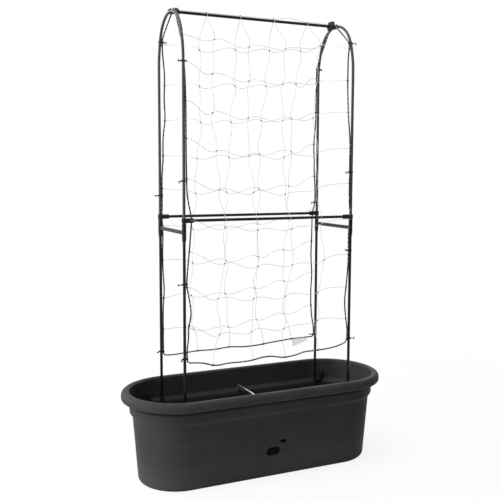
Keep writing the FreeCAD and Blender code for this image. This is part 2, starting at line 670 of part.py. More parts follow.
BACK_RIGHT_LEG = [
    (0, 0, 1182, 25), (0, 0, 1167, 40), (0.1, 0, 1100), (0.6, 0.2, 1012), (4.1, 0.5, 975),
    (6.6, 0.5, 940), (3.6, 0.5, 900), (4.1, 0.5, 862), (0.2, 0, 815), (0, 0, DRAWN_RAIL + 30, 12),
    (2.1, PASS - 0.2, DRAWN_RAIL + 11), (5.1, PASS - 0.2, DRAWN_RAIL - 13), (8.1, 3.0, 686),
    (9.6, 1.5, 650), (11.6, 1.0, 610), (10.6, 1.0, 580), (7.1, 1.0, 542), (10.1, 1.0, 505),
    (11.1, 1.0, 470), (8.6, 1.0, 424), (4.6, 0.5, 394), (0, 0, 373), (0.1, 0, 355, 30), (1.1, 0.5, 341, 12),
]

# Cable ties as (height, way that the tail points along X: -1 left, 1 right)
FRONT_LEFT_TIES = ((1136, -1), (844, -1), (564, -1), (365, -1))
FRONT_RIGHT_TIES = ((1223, 1), (862, -1), (626, -1), (376, 1))
BACK_LEFT_TIES = ((1223, 1), (796, -1), (354, -1))
BACK_RIGHT_TIES = ((1173, -1), (772, -1), (362, -1))


def frame_level(drawn):
    """A written height moved with the rails; close to the mid rail it keeps its distance from it."""
    steps = (
        (0, 0),
        (DRAWN_RAIL - DRAWN_CLEAR, RAIL_LEVEL - DRAWN_CLEAR),
        (DRAWN_RAIL + DRAWN_CLEAR, RAIL_LEVEL + DRAWN_CLEAR),
        (DRAWN_TOP, TOP_LEVEL),
    )
    low, high = next(pair for pair in zip(steps, steps[1:]) if drawn <= pair[1][0])
    return low[1] + (high[1] - low[1]) * (drawn - low[0]) / (high[0] - low[0])


def upright_lean(height):
    """The lean of an upright at a height: none up to the spring line, then the side arc's."""
    return math.asin(max(0, height - SPRING_LEVEL) / SIDE_RADIUS)


def upright_y(height):
    """How far from the middle an upright's axis stands at a height."""
    return POST_Y - SIDE_RADIUS * (1 - math.cos(upright_lean(height)))


def leg_points(leg, side_x, side_y):
    """A leg's route in space from the saddle over the top clip, each point with its own radius or none."""
    legs = []
    for inboard, outboard, drawn, *tight in leg:
        height = frame_level(drawn)
        x = CORD_X - inboard
        y = upright_y(height) + CORD_OUTBOARD + outboard
        legs.append((Vector(side_x * x, side_y * y, height), tight[0] if tight else None))
    first = legs[0][0]
    turn = math.atan2(SADDLE_TOP - first.z, abs(first.y))
    saddle_y = SADDLE_RADIUS * math.tan(turn / 2) + SADDLE_SLACK
    apex_x = side_x * (ARCH_X - APEX_INBOARD)
    saddle = Vector(apex_x, side_y * saddle_y, SADDLE_TOP)
    return [(Vector(apex_x, 0, SADDLE_TOP), None), (saddle, SADDLE_RADIUS)] + legs


def cord_at(leg, level):
    """Where a leg of the border cord is at a height, on the right of the back."""
    points = [point for point, tight in leg_points(leg, 1, 1)]
    for above, below in zip(points, points[1:]):
        if below.z <= level < above.z:
            return below + (above - below) * ((level - below.z) / (above.z - below.z))
    return points[-1]


def hem_level(hem, x):
    """The hem's height at a place along the trough."""
    for (share, height), (next_share, next_height) in zip(hem, hem[1:]):
        if share * CORD_X <= x < next_share * CORD_X:
            along = (x / CORD_X - share) / (next_share - share)
            return frame_level(height + (next_height - height) * along)
    return frame_level(hem[0][1])


def cord_route(left_leg, hem, right_leg, side_y):
    """Apex to corner, along the hem, and up to the other apex."""
    route = leg_points(left_leg, -1, side_y)
    route += [(Vector(share * CORD_X, side_y * HEM_Y, frame_level(height)), None) for share, height in hem]
    return route + list(reversed(leg_points(right_leg, 1, side_y)))


def make_cord(name, route):
    """A tube of straight runs and tangent arcs, each arc as large as its runs allow unless it is tight."""
    edges = []
    radii = []
    last_end = route[0][0]
    for index in range(1, len(route) - 1):
        corner, tight = route[index]
        back = route[index - 1][0] - corner
        ahead = route[index + 1][0] - corner
        shorter = min(back.Length, ahead.Length)
        back.normalize()
        ahead.normalize()
        half_turn = (math.pi - back.getAngle(ahead)) / 2
        radius = tight or 0.45 * shorter / math.tan(half_turn)
        reach = radius * math.tan(half_turn)
        start = corner + back * reach
        end = corner + ahead * reach
        middle = corner + (back + ahead).normalize() * (radius / math.cos(half_turn) - radius)
        edges.append(Part.LineSegment(last_end, start).toShape())
        edges.append(Part.Arc(start, middle, end).toShape())
        radii.append(radius)
        last_end = end
    edges.append(Part.LineSegment(last_end, route[-1][0]).toShape())
    cord = round_bar(edges, CORD)
    length = sum(edge.Length for edge in edges)
    share = cord.Volume / (math.pi * CORD * CORD / 4 * length)
    print(name, "length", round(length), "least radius", round(min(radii), 1))
    print(name, "volume share", round(share, 4))
    return cord


def belt_face(grow):
    """The outline of a strap pulled round a post and the cord beside it, in the plane of the tie."""
    post_round = TUBE / 2 + grow
    cord_round = CORD / 2 + grow
    lean = math.acos((post_round - cord_round) / CORD_SPACING)
    cos_lean = math.cos(lean)
    sin_lean = math.sin(lean)
    upper_post = Vector(post_round * cos_lean, post_round * sin_lean, 0)
    lower_post = Vector(post_round * cos_lean, -post_round * sin_lean, 0)
    upper_cord = Vector(CORD_SPACING + cord_round * cos_lean, cord_round * sin_lean, 0)
    lower_cord = Vector(CORD_SPACING + cord_round * cos_lean, -cord_round * sin_lean, 0)
    return Part.Face(Part.Wire([
        Part.Arc(upper_post, Vector(-post_round, 0, 0), lower_post).toShape(),
        Part.LineSegment(lower_post, lower_cord).toShape(),
        Part.Arc(lower_cord, Vector(CORD_SPACING + cord_round, 0, 0), upper_cord).toShape(),
        Part.LineSegment(upper_cord, upper_post).toShape(),
    ]))


def make_cable_tie(tail_way):
    """A strap and its tail with a ball end, round a post at the origin; the cord lies along local +X."""
    inside = belt_face(CORD_GAP)
    strap = belt_face(CORD_GAP + TIE_BAND).cut(inside).extrude(UP * TIE_BAND_HEIGHT)
    band_middle = CORD_GAP + TIE_BAND / 2
    outer = CORD_SPACING + CORD / 2 + band_middle if tail_way > 0 else TUBE / 2 + band_middle
    root = Vector(tail_way * outer, 0, TIE_BAND_HEIGHT / 2)
    tail = Part.makeCylinder(TIE_TAIL_THICKNESS / 2, TIE_TAIL, root, Vector(tail_way, 0, 0))
    ball = Part.makeSphere(TIE_TAIL_BALL / 2, root + Vector(tail_way * TIE_TAIL, 0, 0))
    tie = strap.fuse([tail, ball])
    tie.translate(UP * (-TIE_BAND_HEIGHT / 2))
    return tie


def make_ties(ties, side_x, side_y):
    """All the cable ties on one upright, square to the tube where it bends."""
    solids = []
    for drawn, tail_x in ties:
        height = frame_level(drawn)
        tie = make_cable_tie(-side_x * tail_x)
        # Towards the middle of the trough and a little outboard, where the cord runs
        tie.rotate(ORIGIN, UP, math.degrees(math.atan2(CORD_OUTBOARD, -CORD_INBOARD)))
        tie.rotate(ORIGIN, Vector(1, 0, 0), math.degrees(upright_lean(height)))
        tie.translate(Vector(ARCH_X, upright_y(height), height))
        if side_x < 0:
            tie = tie.mirror(ORIGIN, Vector(1, 0, 0))
        if side_y < 0:
            tie = tie.mirror(ORIGIN, Vector(0, 1, 0))
        solids.append(tie)
    return Part.makeCompound(solids)


def make_apex_knots():
    """Turns of cord lashed round the top rail's sockets beside the border cord."""
    solids = []
    first = ARCH_X - APEX_INBOARD - CORD - CORD_GAP
    for side_x in (-1, 1):
        for turn in range(KNOT_TURNS):
            centre = Vector(side_x * (first - turn * (CORD + CORD_GAP)), 0, TOP_LEVEL)
            solids.append(Part.makeTorus(SADDLE_RADIUS, CORD / 2, centre, Vector(1, 0, 0)))
    return Part.makeCompound(solids)


def make_tag():
    """A blank sheet folded over the back hem's last straight run, with two hanging leaves."""
    left = BACK_HEM[-2][0] * CORD_X + TAG_MARGIN
    width = BACK_HEM[-1][0] * CORD_X - TAG_MARGIN - left
    fold_level = frame_level(BACK_HEM[-1][1])
    inner = CORD / 2 + CORD_GAP
    outer = inner + TAG_THICKNESS
    low = fold_level - TAG_DROP

    def place(y, z):
        return Vector(left, y, z)

    section = Part.Wire([
        Part.LineSegment(place(HEM_Y - outer, low), place(HEM_Y - outer, fold_level)).toShape(),
        Part.Arc(place(HEM_Y - outer, fold_level), place(HEM_Y, fold_level + outer),
                 place(HEM_Y + outer, fold_level)).toShape(),
        Part.LineSegment(place(HEM_Y + outer, fold_level), place(HEM_Y + outer, low)).toShape(),
        Part.LineSegment(place(HEM_Y + outer, low), place(HEM_Y + inner, low)).toShape(),
        Part.LineSegment(place(HEM_Y + inner, low), place(HEM_Y + inner, fold_level)).toShape(),
        Part.Arc(place(HEM_Y + inner, fold_level), place(HEM_Y, fold_level + inner),
                 place(HEM_Y - inner, fold_level)).toShape(),
        Part.LineSegment(place(HEM_Y - inner, fold_level), place(HEM_Y - inner, low)).toShape(),
        Part.LineSegment(place(HEM_Y - inner, low), place(HEM_Y - outer, low)).toShape(),
    ])
    return Part.Face(section).extrude(Vector(width, 0, 0))


os.makedirs("parts", exist_ok=True)

# The tub and what is fixed in it
save("trough", make_trough())
save("cross_tie", make_cross_tie())
for end in (-1, 1):
    for depth in (-1, 1):
        save("post_holder_" + side_name(end, depth), make_holder(end, depth))

# The trellis frame
for end, end_name in ((-1, "left"), (1, "right")):
    save("arch_" + end_name, make_arch(end))
    save("side_bracket_" + end_name, make_side_bracket(end))
    save("top_clip_" + end_name, make_top_clip(end))
    for depth in (-1, 1):
        save("lower_post_" + side_name(end, depth), make_lower_post(end, depth))
        save("rail_clip_" + side_name(end, depth), make_rail_clip(end, depth))
save("top_rail", make_rail(0, TOP_LEVEL))
save("mid_rail_front", make_rail(-POST_Y, RAIL_LEVEL))
save("mid_rail_back", make_rail(POST_Y, RAIL_LEVEL))

# The net, its border cord, and what ties it to the frame
net_threads = []
for depth, depth_name, left_leg, hem, right_leg in (
        (-1, "front", FRONT_LEFT_LEG, FRONT_HEM, FRONT_RIGHT_LEG),
        (1, "back", BACK_LEFT_LEG, BACK_HEM, BACK_RIGHT_LEG)):
    hanging, hanging_threads = make_hanging_net(depth, left_leg, hem, right_leg)
    sloping, sloping_threads = make_sloping_net(depth, left_leg, right_leg)
    save("net_" + depth_name, hanging)
    save("net_slope_" + depth_name, sloping)
    net_threads += hanging_threads + sloping_threads
save("net_edge_threads", Part.makeCompound(net_threads))
front_route = cord_route(FRONT_LEFT_LEG, FRONT_HEM, FRONT_RIGHT_LEG, -1)
back_route = cord_route(BACK_LEFT_LEG, BACK_HEM, BACK_RIGHT_LEG, 1)
save("border_cord_front", make_cord("border_cord_front", front_route))
save("border_cord_back", make_cord("border_cord_back", back_route))
save("ties_front_left", make_ties(FRONT_LEFT_TIES, -1, -1))
save("ties_front_right", make_ties(FRONT_RIGHT_TIES, 1, -1))
save("ties_back_left", make_ties(BACK_LEFT_TIES, -1, 1))
save("ties_back_right", make_ties(BACK_RIGHT_TIES, 1, 1))
save("apex_knots", make_apex_knots())
save("blank_tag", make_tag())
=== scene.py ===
"""Looks of the vertical vegetable planter: finishes for its rigid parts, and its rope, net, ties and tag."""
import math
import random

import bmesh
import bpy
from mathutils import Matrix, Vector


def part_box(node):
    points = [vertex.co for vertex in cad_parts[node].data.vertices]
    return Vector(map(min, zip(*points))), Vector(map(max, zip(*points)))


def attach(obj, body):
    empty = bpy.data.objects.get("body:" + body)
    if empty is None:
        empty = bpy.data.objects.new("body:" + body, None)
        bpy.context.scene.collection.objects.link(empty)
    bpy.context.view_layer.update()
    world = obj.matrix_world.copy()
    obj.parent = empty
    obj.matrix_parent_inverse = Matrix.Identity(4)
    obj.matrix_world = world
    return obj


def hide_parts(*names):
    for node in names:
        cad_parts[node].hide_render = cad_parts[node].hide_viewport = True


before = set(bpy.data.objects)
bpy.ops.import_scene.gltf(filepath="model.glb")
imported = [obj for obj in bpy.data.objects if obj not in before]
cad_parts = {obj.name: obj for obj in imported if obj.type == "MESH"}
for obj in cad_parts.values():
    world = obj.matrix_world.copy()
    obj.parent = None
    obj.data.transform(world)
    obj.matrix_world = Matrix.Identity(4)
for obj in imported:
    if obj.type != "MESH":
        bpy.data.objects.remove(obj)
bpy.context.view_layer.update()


# Trough: one moulded tub of recycled dark plastic, with a fine sparked grain from the mould.
# It stands on the floor and carries everything else. Painted shade darkens its inside below the shoulder
# and the crease under its rim, and painted light from the floor brightens its foot.
def new_finish(name):
    """A node material and its main shader."""
    finish = bpy.data.materials.new(name)
    finish.use_nodes = True
    return finish, finish.node_tree, finish.node_tree.nodes["Principled BSDF"]


def add(tree, kind, **values):
    """A node of a tree, with its named inputs set."""
    node = tree.nodes.new(kind)
    for name, value in values.items():
        node.inputs[name.replace("_", " ")].default_value = value
    return node


def link(source, target):
    """Joins an output to an input of the same node tree."""
    source.id_data.links.new(source, target)


def object_noise(tree, scale, detail, stretch=(1, 1, 1)):
    """Noise in the piece's own metres, stretched along its axes."""
    place = add(tree, "ShaderNodeTexCoord")
    mapping = add(tree, "ShaderNodeMapping", Scale=stretch)
    noise = add(tree, "ShaderNodeTexNoise", Scale=scale, Detail=detail)
    link(place.outputs["Object"], mapping.inputs["Vector"])
    link(mapping.outputs["Vector"], noise.inputs["Vector"])
    return noise.outputs["Fac"]


def tone_between(tree, factor, dark, pale, low=0.3, high=0.7):
    """A colour that runs from dark to pale as a factor rises."""
    ramp = add(tree, "ShaderNodeValToRGB")
    ramp.color_ramp.elements[0].position = low
    ramp.color_ramp.elements[0].color = (*dark, 1)
    ramp.color_ramp.elements[1].position = high
    ramp.color_ramp.elements[1].color = (*pale, 1)
    link(factor, ramp.inputs["Fac"])
    return ramp.outputs["Color"]


def value_between(tree, factor, low, high, start=0, end=1):
    """A plain number that runs from low to high as a factor goes from start to end."""
    spread = add(tree, "ShaderNodeMapRange", From_Min=start, From_Max=end, To_Min=low, To_Max=high)
    link(factor, spread.inputs["Value"])
    return spread.outputs["Result"]


def raise_grain(tree, shader, height, depth, strength):
    """Bump on a shader from a height, over a depth in metres."""
    bump = add(tree, "ShaderNodeBump", Strength=strength, Distance=depth)
    link(height, bump.inputs["Height"])
    link(bump.outputs["Normal"], shader.inputs["Normal"])


CLOUD_SCALE = 9
GLOSS_SCALE = 30
GLOSS_BELOW = 0.05
GLOSS_ABOVE = 0.07
GRAIN_SCALE = 1100
GRAIN_DEPTH = 0.0004


def moulded_plastic(name, dark, pale, roughness, specular, grain):
    """Moulded plastic between two greys: cloudy tone, uneven gloss and a fine grain."""
    finish, tree, shader = new_finish(name)
    clouds = object_noise(tree, CLOUD_SCALE, detail=3)
    link(tone_between(tree, clouds, [dark] * 3, [pale] * 3), shader.inputs["Base Color"])
    patches = object_noise(tree, GLOSS_SCALE, detail=4)
    gloss = value_between(tree, patches, roughness - GLOSS_BELOW, roughness + GLOSS_ABOVE)
    link(gloss, shader.inputs["Roughness"])
    shader.inputs["Specular IOR Level"].default_value = specular
    raise_grain(tree, shader, object_noise(tree, GRAIN_SCALE, detail=2), GRAIN_DEPTH, grain)
    return finish


def dress(finish, *names):
    """Gives rigid parts their finish."""
    for name in names:
        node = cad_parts[name]
        if not node.material_slots:
            node.data.materials.append(finish)
        for holder in node.material_slots:
            holder.material = finish


def maths(tree, operation, first, second=None):
    """A number worked out from one or two sockets or plain numbers."""
    node = add(tree, "ShaderNodeMath")
    node.operation = operation
    for socket, value in zip(node.inputs, (first, second)):
        if isinstance(value, (int, float)):
            socket.default_value = value
        elif value is not None:
            link(value, socket)
    return node.outputs[0]


def scaled(tree, vector, factor):
    """A vector times a number."""
    node = add(tree, "ShaderNodeVectorMath")
    node.operation = "SCALE"
    link(vector, node.inputs[0])
    link(factor, node.inputs["Scale"])
    return node.outputs[0]


END_CENTRE = 0.242
WALL_FOOT = 0.1105
WALL_DRAFT = 0.0145
SHOULDER_LOW = 0.186
# Painted shade: inside the tub below the shoulder, and in the crease under the rim.
RESERVOIR_FADE = 0.05
RESERVOIR_SHADE_TONE = 0.06
CREASE_LOW = 0.2155
CREASE_HIGH = 0.225
CREASE_TOP = 0.229
CREASE_RADIUS = 0.1345
CREASE_SHADE_SHARE = 0.95
# Painted light from the floor on the tub's foot.
FOOT_LIGHT_HEIGHT = 0.1
FOOT_LIGHT_TONE = 1.5


def paint_tub_shade_and_light(finish):
    """Paints shade in the tub below its shoulder and under its rim, and floor light on its foot."""
    tree = finish.node_tree
    shader = tree.nodes["Principled BSDF"]
    place = add(tree, "ShaderNodeTexCoord")
    split = add(tree, "ShaderNodeSeparateXYZ")
    link(place.outputs["Object"], split.inputs["Vector"])
    x, y, z = split.outputs
    past_end = maths(tree, "MAXIMUM", maths(tree, "SUBTRACT", maths(tree, "ABSOLUTE", x), END_CENTRE), 0)
    square = maths(tree, "ADD", maths(tree, "POWER", past_end, 2), maths(tree, "POWER", y, 2))
    radius = maths(tree, "SQRT", square)
    lean = maths(tree, "MULTIPLY", z, WALL_DRAFT / SHOULDER_LOW)
    inside = maths(tree, "LESS_THAN", radius, maths(tree, "ADD", lean, WALL_FOOT))
    deep = value_between(tree, z, 0, 1, SHOULDER_LOW, SHOULDER_LOW - RESERVOIR_FADE)
    # Painted shade inside the tub below its shoulder.
    reservoir_shade = maths(tree, "MULTIPLY", inside, deep)
    # Painted shadow in the crease under the rim's lip.
    crease_shadow_ramp = value_between(tree, z, 0, CREASE_SHADE_SHARE, CREASE_LOW, CREASE_HIGH)
    below_rim = maths(tree, "LESS_THAN", z, CREASE_TOP)
    outside = maths(tree, "GREATER_THAN", radius, CREASE_RADIUS)
    crease = maths(tree, "MULTIPLY", maths(tree, "MULTIPLY", below_rim, outside), crease_shadow_ramp)
    painted_shade = maths(tree, "MAXIMUM", reservoir_shade, crease)
    # Painted light from the floor: lighter towards the tub's foot.
    painted_foot_light = value_between(tree, z, FOOT_LIGHT_TONE, 1, 0, FOOT_LIGHT_HEIGHT)
    # The tub's clean colour is scaled by the painted shade and the painted floor light.
    tone = maths(tree, "MULTIPLY", value_between(tree, painted_shade, 1, RESERVOIR_SHADE_TONE), painted_foot_light)
    clean = shader.inputs["Base Color"].links[0].from_socket
    link(scaled(tree, clean, tone), shader.inputs["Base Color"])


tub_plastic = moulded_plastic("tub_plastic", dark=0.034, pale=0.042,
                              roughness=0.55, specular=0.04, grain=0.35)
paint_tub_shade_and_light(tub_plastic)
dress(tub_plastic, "trough")


# Post holders: four small clips of the same dark plastic, pushed on the posts before they go in.
# Each has an arm that hooks on the wall's inner shoulder.
CORNERS = ("front_left", "front_right", "back_left", "back_right")
holder_plastic = moulded_plastic("holder_plastic", dark=0.01, pale=0.018,
                                 roughness=0.42, specular=0.1, grain=0.25)
dress(holder_plastic, *("post_holder_" + corner for corner in CORNERS))


# Cross tie: a galvanised steel rod that keeps the long walls from spreading.
# Its ends drop into bosses on the shoulder; the zinc has a soft spangle.
SPANGLE_SCALE = 220
ZINC_DARK = (0.42, 0.43, 0.45)
ZINC_PALE = (0.62, 0.63, 0.64)
zinc, zinc_tree, zinc_shader = new_finish("galvanised_zinc")
zinc_place = add(zinc_tree, "ShaderNodeTexCoord")
spangle = add(zinc_tree, "ShaderNodeTexVoronoi", Scale=SPANGLE_SCALE)
link(zinc_place.outputs["Object"], spangle.inputs["Vector"])
zinc_tone = tone_between(zinc_tree, spangle.outputs["Distance"], ZINC_DARK, ZINC_PALE)
link(zinc_tone, zinc_shader.inputs["Base Color"])
zinc_gloss = value_between(zinc_tree, spangle.outputs["Distance"], low=0.3, high=0.48)
link(zinc_gloss, zinc_shader.inputs["Roughness"])
zinc_shader.inputs["Metallic"].default_value = 1
dress(zinc, "cross_tie")


# Posts, arches and rails: thin steel tube with a black plastic coat, bent or cut to length.
# The coat is smooth, with a faint orange peel and drawn lines along the tube.
# The arches have a greyer copy of the coat than the posts and rails: painted light for their highlights.
COAT_CLOUDS = 25
LINES_SCALE = 60
LINES_STRETCH = (1, 1, 0.1)
PEEL_SCALE = 420
PEEL_DEPTH = 0.0002


def tube_coat(name, dark, pale):
    """Smooth plastic coat on tube, between two tones."""
    finish, tree, shader = new_finish(name)
    clouds = object_noise(tree, COAT_CLOUDS, detail=3)
    link(tone_between(tree, clouds, dark, pale), shader.inputs["Base Color"])
    drawn_lines = object_noise(tree, LINES_SCALE, detail=2, stretch=LINES_STRETCH)
    link(value_between(tree, drawn_lines, low=0.22, high=0.32), shader.inputs["Roughness"])
    shader.inputs["Specular IOR Level"].default_value = 0.15
    raise_grain(tree, shader, object_noise(tree, PEEL_SCALE, detail=2), PEEL_DEPTH, strength=0.2)
    return finish


black_coat = tube_coat("black_coat", (0.004, 0.004, 0.004), (0.008, 0.008, 0.008))
# A paler copy of the black coat on the arches: painted light standing in for their highlights.
arch_highlight_coat = tube_coat("arch_highlight_coat", (0.04, 0.04, 0.041), (0.055, 0.055, 0.056))
dress(arch_highlight_coat, "arch_left", "arch_right")
dress(black_coat, "top_rail", "mid_rail_front", "mid_rail_back")
dress(black_coat, *("lower_post_" + corner for corner in CORNERS))


# Brackets and clips: black moulded plastic, snapped on the tubes.
# Their skin is duller than the tubes' coat.
clip_plastic = moulded_plastic("clip_plastic", dark=0.008, pale=0.014,
                               roughness=0.45, specular=0.12, grain=0.3)
dress(clip_plastic, "side_bracket_left", "side_bracket_right", "top_clip_left", "top_clip_right")
dress(clip_plastic, *("rail_clip_" + corner for corner in CORNERS))


# Border cord: a laid cord of three near black polyester strands, one worn grey-green in patches.
# One length runs from apex to apex down the front posts and along the hem, one at the back.
ARCH_X = 0.2565
POST_Y = 0.098
SIDE_RADIUS = 0.24
SPRING_LEVEL = 1.143778
TOP_LEVEL = 1.286
RAIL_LEVEL = 0.734
CORD = 0.004
CORD_X = 0.250128
CORD_OUTBOARD = 0.001
HEM_Y = 0.0995
APEX_X = 0.246
SADDLE_RADIUS = 0.0088
SADDLE_SLACK = 0.0005
SADDLE_TOP = TOP_LEVEL + SADDLE_RADIUS
CHORD_POINT = 6 * CORD
CORD_LAY = 0.0125
FRONT_LENGTH = 2.466
BACK_LENGTH = 2.494

# Points beside an upright are (inboard, outboard, height) from the cord's tied place.
FRONT_LEFT_LEG = [
    (0, 0, 1.152), (0, 0, 0.836), (0.0031, 0.001, 0.79), (0.0081, 0.003, 0.764),
    (0.0104, 0.0084, 0.742), (0.0104, 0.0082, 0.722), (0.0096, 0.003, 0.692), (0.0071, 0.0015, 0.655),
    (0.0026, 0.0005, 0.608), (0, 0, 0.572), (0.0001, 0, 0.556), (0.0051, 0.0005, 0.535),
    (0.0109, 0.001, 0.5), (0.0112, 0.001, 0.476), (0.0034, 0.0005, 0.448), (0.0042, 0.0005, 0.418),
    (0.0008, 0.0001, 0.396), (0, 0, 0.383), (0.0001, 0, 0.3685), (0.0009, 0.0005, 0.3525),
]
FRONT_RIGHT_LEG = [
    (0, 0, 1.2315), (0, 0, 1.2165), (0.0066, -0.0025, 1.19), (0.0101, -0.0017, 1.156),
    (0.0118, 0.0005, 1.112), (0.0101, 0.0005, 1.062), (0.0071, 0.0005, 1.012), (0.0016, 0.0005, 0.966),
    (0, 0, 0.93), (0.0006, 0.0002, 0.9), (0, 0, 0.868), (0.0001, 0, 0.8), (0.0006, 0.002, 0.772),
    (0.0016, 0.0084, 0.746), (0.002, 0.0083, 0.724), (0.0022, 0.003, 0.698), (0.0018, 0.001, 0.668),
    (0, 0, 0.64), (0.0002, 0, 0.598), (0.0041, 0.0005, 0.552), (0.0076, 0.001, 0.522),
    (0.0109, 0.001, 0.496), (0.0101, 0.001, 0.468), (0.0066, 0.001, 0.44), (0.0026, 0.0005, 0.416),
    (0, 0, 0.399), (0.0002, 0, 0.382), (0.0024, 0.0005, 0.3645),
]
BACK_LEFT_LEG = [
    (0, 0, 1.2315), (0, 0, 1.2165), (0.0026, -0.0015, 1.19), (0.0076, -0.0011, 1.158),
    (0.0111, 0.0005, 1.12), (0.0081, 0.0005, 1.064), (0.0111, 0.0005, 1.022), (0.0101, 0.0005, 0.998),
    (0.0051, 0.0005, 0.965), (0.0036, 0.0005, 0.925), (0.0046, 0.0005, 0.9), (0.0016, 0.0002, 0.868),
    (0, 0, 0.84), (0.0001, 0, 0.788), (0.001, 0.002, 0.768), (0.0018, 0.0084, 0.744),
    (0.0022, 0.0083, 0.722), (0.0022, 0.003, 0.698), (0.0018, 0.001, 0.668), (0, 0, 0.64),
    (0.0001, 0, 0.596), (0.0021, 0.0003, 0.556), (0.0049, 0.0005, 0.526), (0.0026, 0.0005, 0.498),
    (0, 0, 0.462), (0.0001, 0, 0.346), (0.0011, 0.0005, 0.33),
]
BACK_RIGHT_LEG = [
    (0, 0, 1.182), (0, 0, 1.167), (0.0001, 0, 1.1), (0.0006, 0.0002, 1.012), (0.0041, 0.0005, 0.975),
    (0.0066, 0.0005, 0.94), (0.0036, 0.0005, 0.9), (0.0041, 0.0005, 0.862), (0.0002, 0, 0.815),
    (0, 0, 0.764), (0.0021, 0.0082, 0.745), (0.0051, 0.0082, 0.721), (0.0081, 0.003, 0.686),
    (0.0096, 0.0015, 0.65), (0.0116, 0.001, 0.61), (0.0106, 0.001, 0.58), (0.0071, 0.001, 0.542),
    (0.0101, 0.001, 0.505), (0.0111, 0.001, 0.47), (0.0086, 0.001, 0.424), (0.0046, 0.0005, 0.394),
    (0, 0, 0.373), (0.0001, 0, 0.355), (0.0011, 0.0005, 0.341),
]
# Hem points are (share of the half width between the legs, height).
FRONT_HEM = [
    (-0.9, 0.3515), (-0.796, 0.3475), (-0.676, 0.3365), (-0.524, 0.341), (-0.384, 0.3395),
    (-0.22, 0.341), (-0.112, 0.347), (0.024, 0.3465), (0.14, 0.339), (0.248, 0.34), (0.34, 0.3435),
    (0.42, 0.3495), (0.568, 0.349), (0.728, 0.3505), (0.864, 0.3545),
]
BACK_HEM = [
    (-0.888, 0.329), (-0.744, 0.3305), (-0.572, 0.334), (-0.368, 0.331), (-0.192, 0.3355),
    (-0.08, 0.3335), (0.032, 0.3305), (0.2, 0.331), (0.352, 0.335), (0.528, 0.338), (0.696, 0.3415),
    (0.904, 0.3416),
]


def upright_lean(height):
    """The lean of an upright at a height, from the arch's side arc."""
    return math.asin(max(0, height - SPRING_LEVEL) / SIDE_RADIUS)


def upright_y(height):
    """How far from the middle an upright's axis stands at a height."""
    return POST_Y - SIDE_RADIUS * (1 - math.cos(upright_lean(height)))


def leg_route(leg, side_x, side_y):
    """A leg's points from the apex down, with one more on the straight chord below the top clip."""
    points = []
    for inboard, outboard, height in leg:
        y = upright_y(height) + CORD_OUTBOARD + outboard
        points.append(Vector((side_x * (CORD_X - inboard), side_y * y, height)))
    drop = math.atan2(SADDLE_TOP - points[0].z, abs(points[0].y))
    saddle_y = SADDLE_RADIUS * math.tan(drop / 2) + SADDLE_SLACK
    saddle = Vector((side_x * APEX_X, side_y * saddle_y, SADDLE_TOP))
    chord = saddle + (points[0] - saddle).normalized() * CHORD_POINT
    return [Vector((side_x * APEX_X, 0, SADDLE_TOP)), saddle, chord] + points


def cord_route(left_leg, hem, right_leg, side_y):
    """One border cord from apex to apex."""
    along = [Vector((share * CORD_X, side_y * HEM_Y, height)) for share, height in hem]
    return leg_route(left_leg, -1, side_y) + along + leg_route(right_leg, 1, side_y)[::-1]


def evaluated_mesh(piece):
    """A plain mesh of what a piece's curve or modifiers make."""
    view = bpy.context.evaluated_depsgraph_get()
    return bpy.data.meshes.new_from_object(piece.evaluated_get(view))


def new_piece(name, data):
    """An object at the origin, linked to the scene."""
    piece = bpy.data.objects.new(name, data)
    bpy.context.scene.collection.objects.link(piece)
    return piece


def smooth_line(route):
    """Points along the smooth line that a route's points steer."""
    curve = bpy.data.curves.new("cord_line", "CURVE")
    curve.dimensions = "3D"
    spline = curve.splines.new("NURBS")
    spline.points.add(len(route) - 1)
    for point, place in zip(spline.points, route):
        point.co = (*place, 1)
    spline.order_u = 3
    spline.use_endpoint_u = True
    spline.resolution_u = 12
    holder = new_piece("cord_line", curve)
    points = [vertex.co.copy() for vertex in evaluated_mesh(holder).vertices]
    bpy.data.objects.remove(holder)
    return points


def line_mesh(name, lines):
    """Several polylines as the edges of one mesh."""
    mesh = bpy.data.meshes.new(name)
    places = []
    edges = []
    for line in lines:
        first = len(places)
        places += [tuple(point) for point in line]
        edges += [(first + step, first + step + 1) for step in range(len(line) - 1)]
    mesh.from_pydata(places, edges, [])
    return mesh


STRANDS = 3
STRAND_SHARE = 0.268
STRAND_REACH = 1.1


def vectors(tree, operation, first, second):
    """A vector worked out from two."""
    node = add(tree, "ShaderNodeVectorMath")
    node.operation = operation
    link(first, node.inputs[0])
    link(second, node.inputs[1])
    return node.outputs[0]


def node_tree(name, inputs):
    """A new Geometry Nodes tree that takes geometry, the named inputs and a finish."""
    tree = bpy.data.node_groups.new(name, "GeometryNodeTree")
    kinds = {"Geometry": "Geometry", **inputs, "Finish": "Material"}
    for label, kind in kinds.items():
        tree.interface.new_socket(label, in_out="INPUT", socket_type="NodeSocket" + kind)
    tree.interface.new_socket("Geometry", in_out="OUTPUT", socket_type="NodeSocketGeometry")
    return tree, add(tree, "NodeGroupInput").outputs


def even_curve(tree, given):
    """The given lines as a curve with a point at every step."""
    curve = add(tree, "GeometryNodeMeshToCurve")
    link(given["Geometry"], curve.inputs["Mesh"])
    even = add(tree, "GeometryNodeResampleCurve")
    even.mode = "LENGTH"
    link(curve.outputs["Curve"], even.inputs["Curve"])
    link(given["Step"], even.inputs["Length"])
    return even.outputs["Curve"]


def round_section(tree, given):
    """A circle of the given radius and sides."""
    section = add(tree, "GeometryNodeCurvePrimitiveCircle")
    link(given["Sides"], section.inputs["Resolution"])
    link(given["Radius"], section.inputs["Radius"])
    return section.outputs["Curve"]


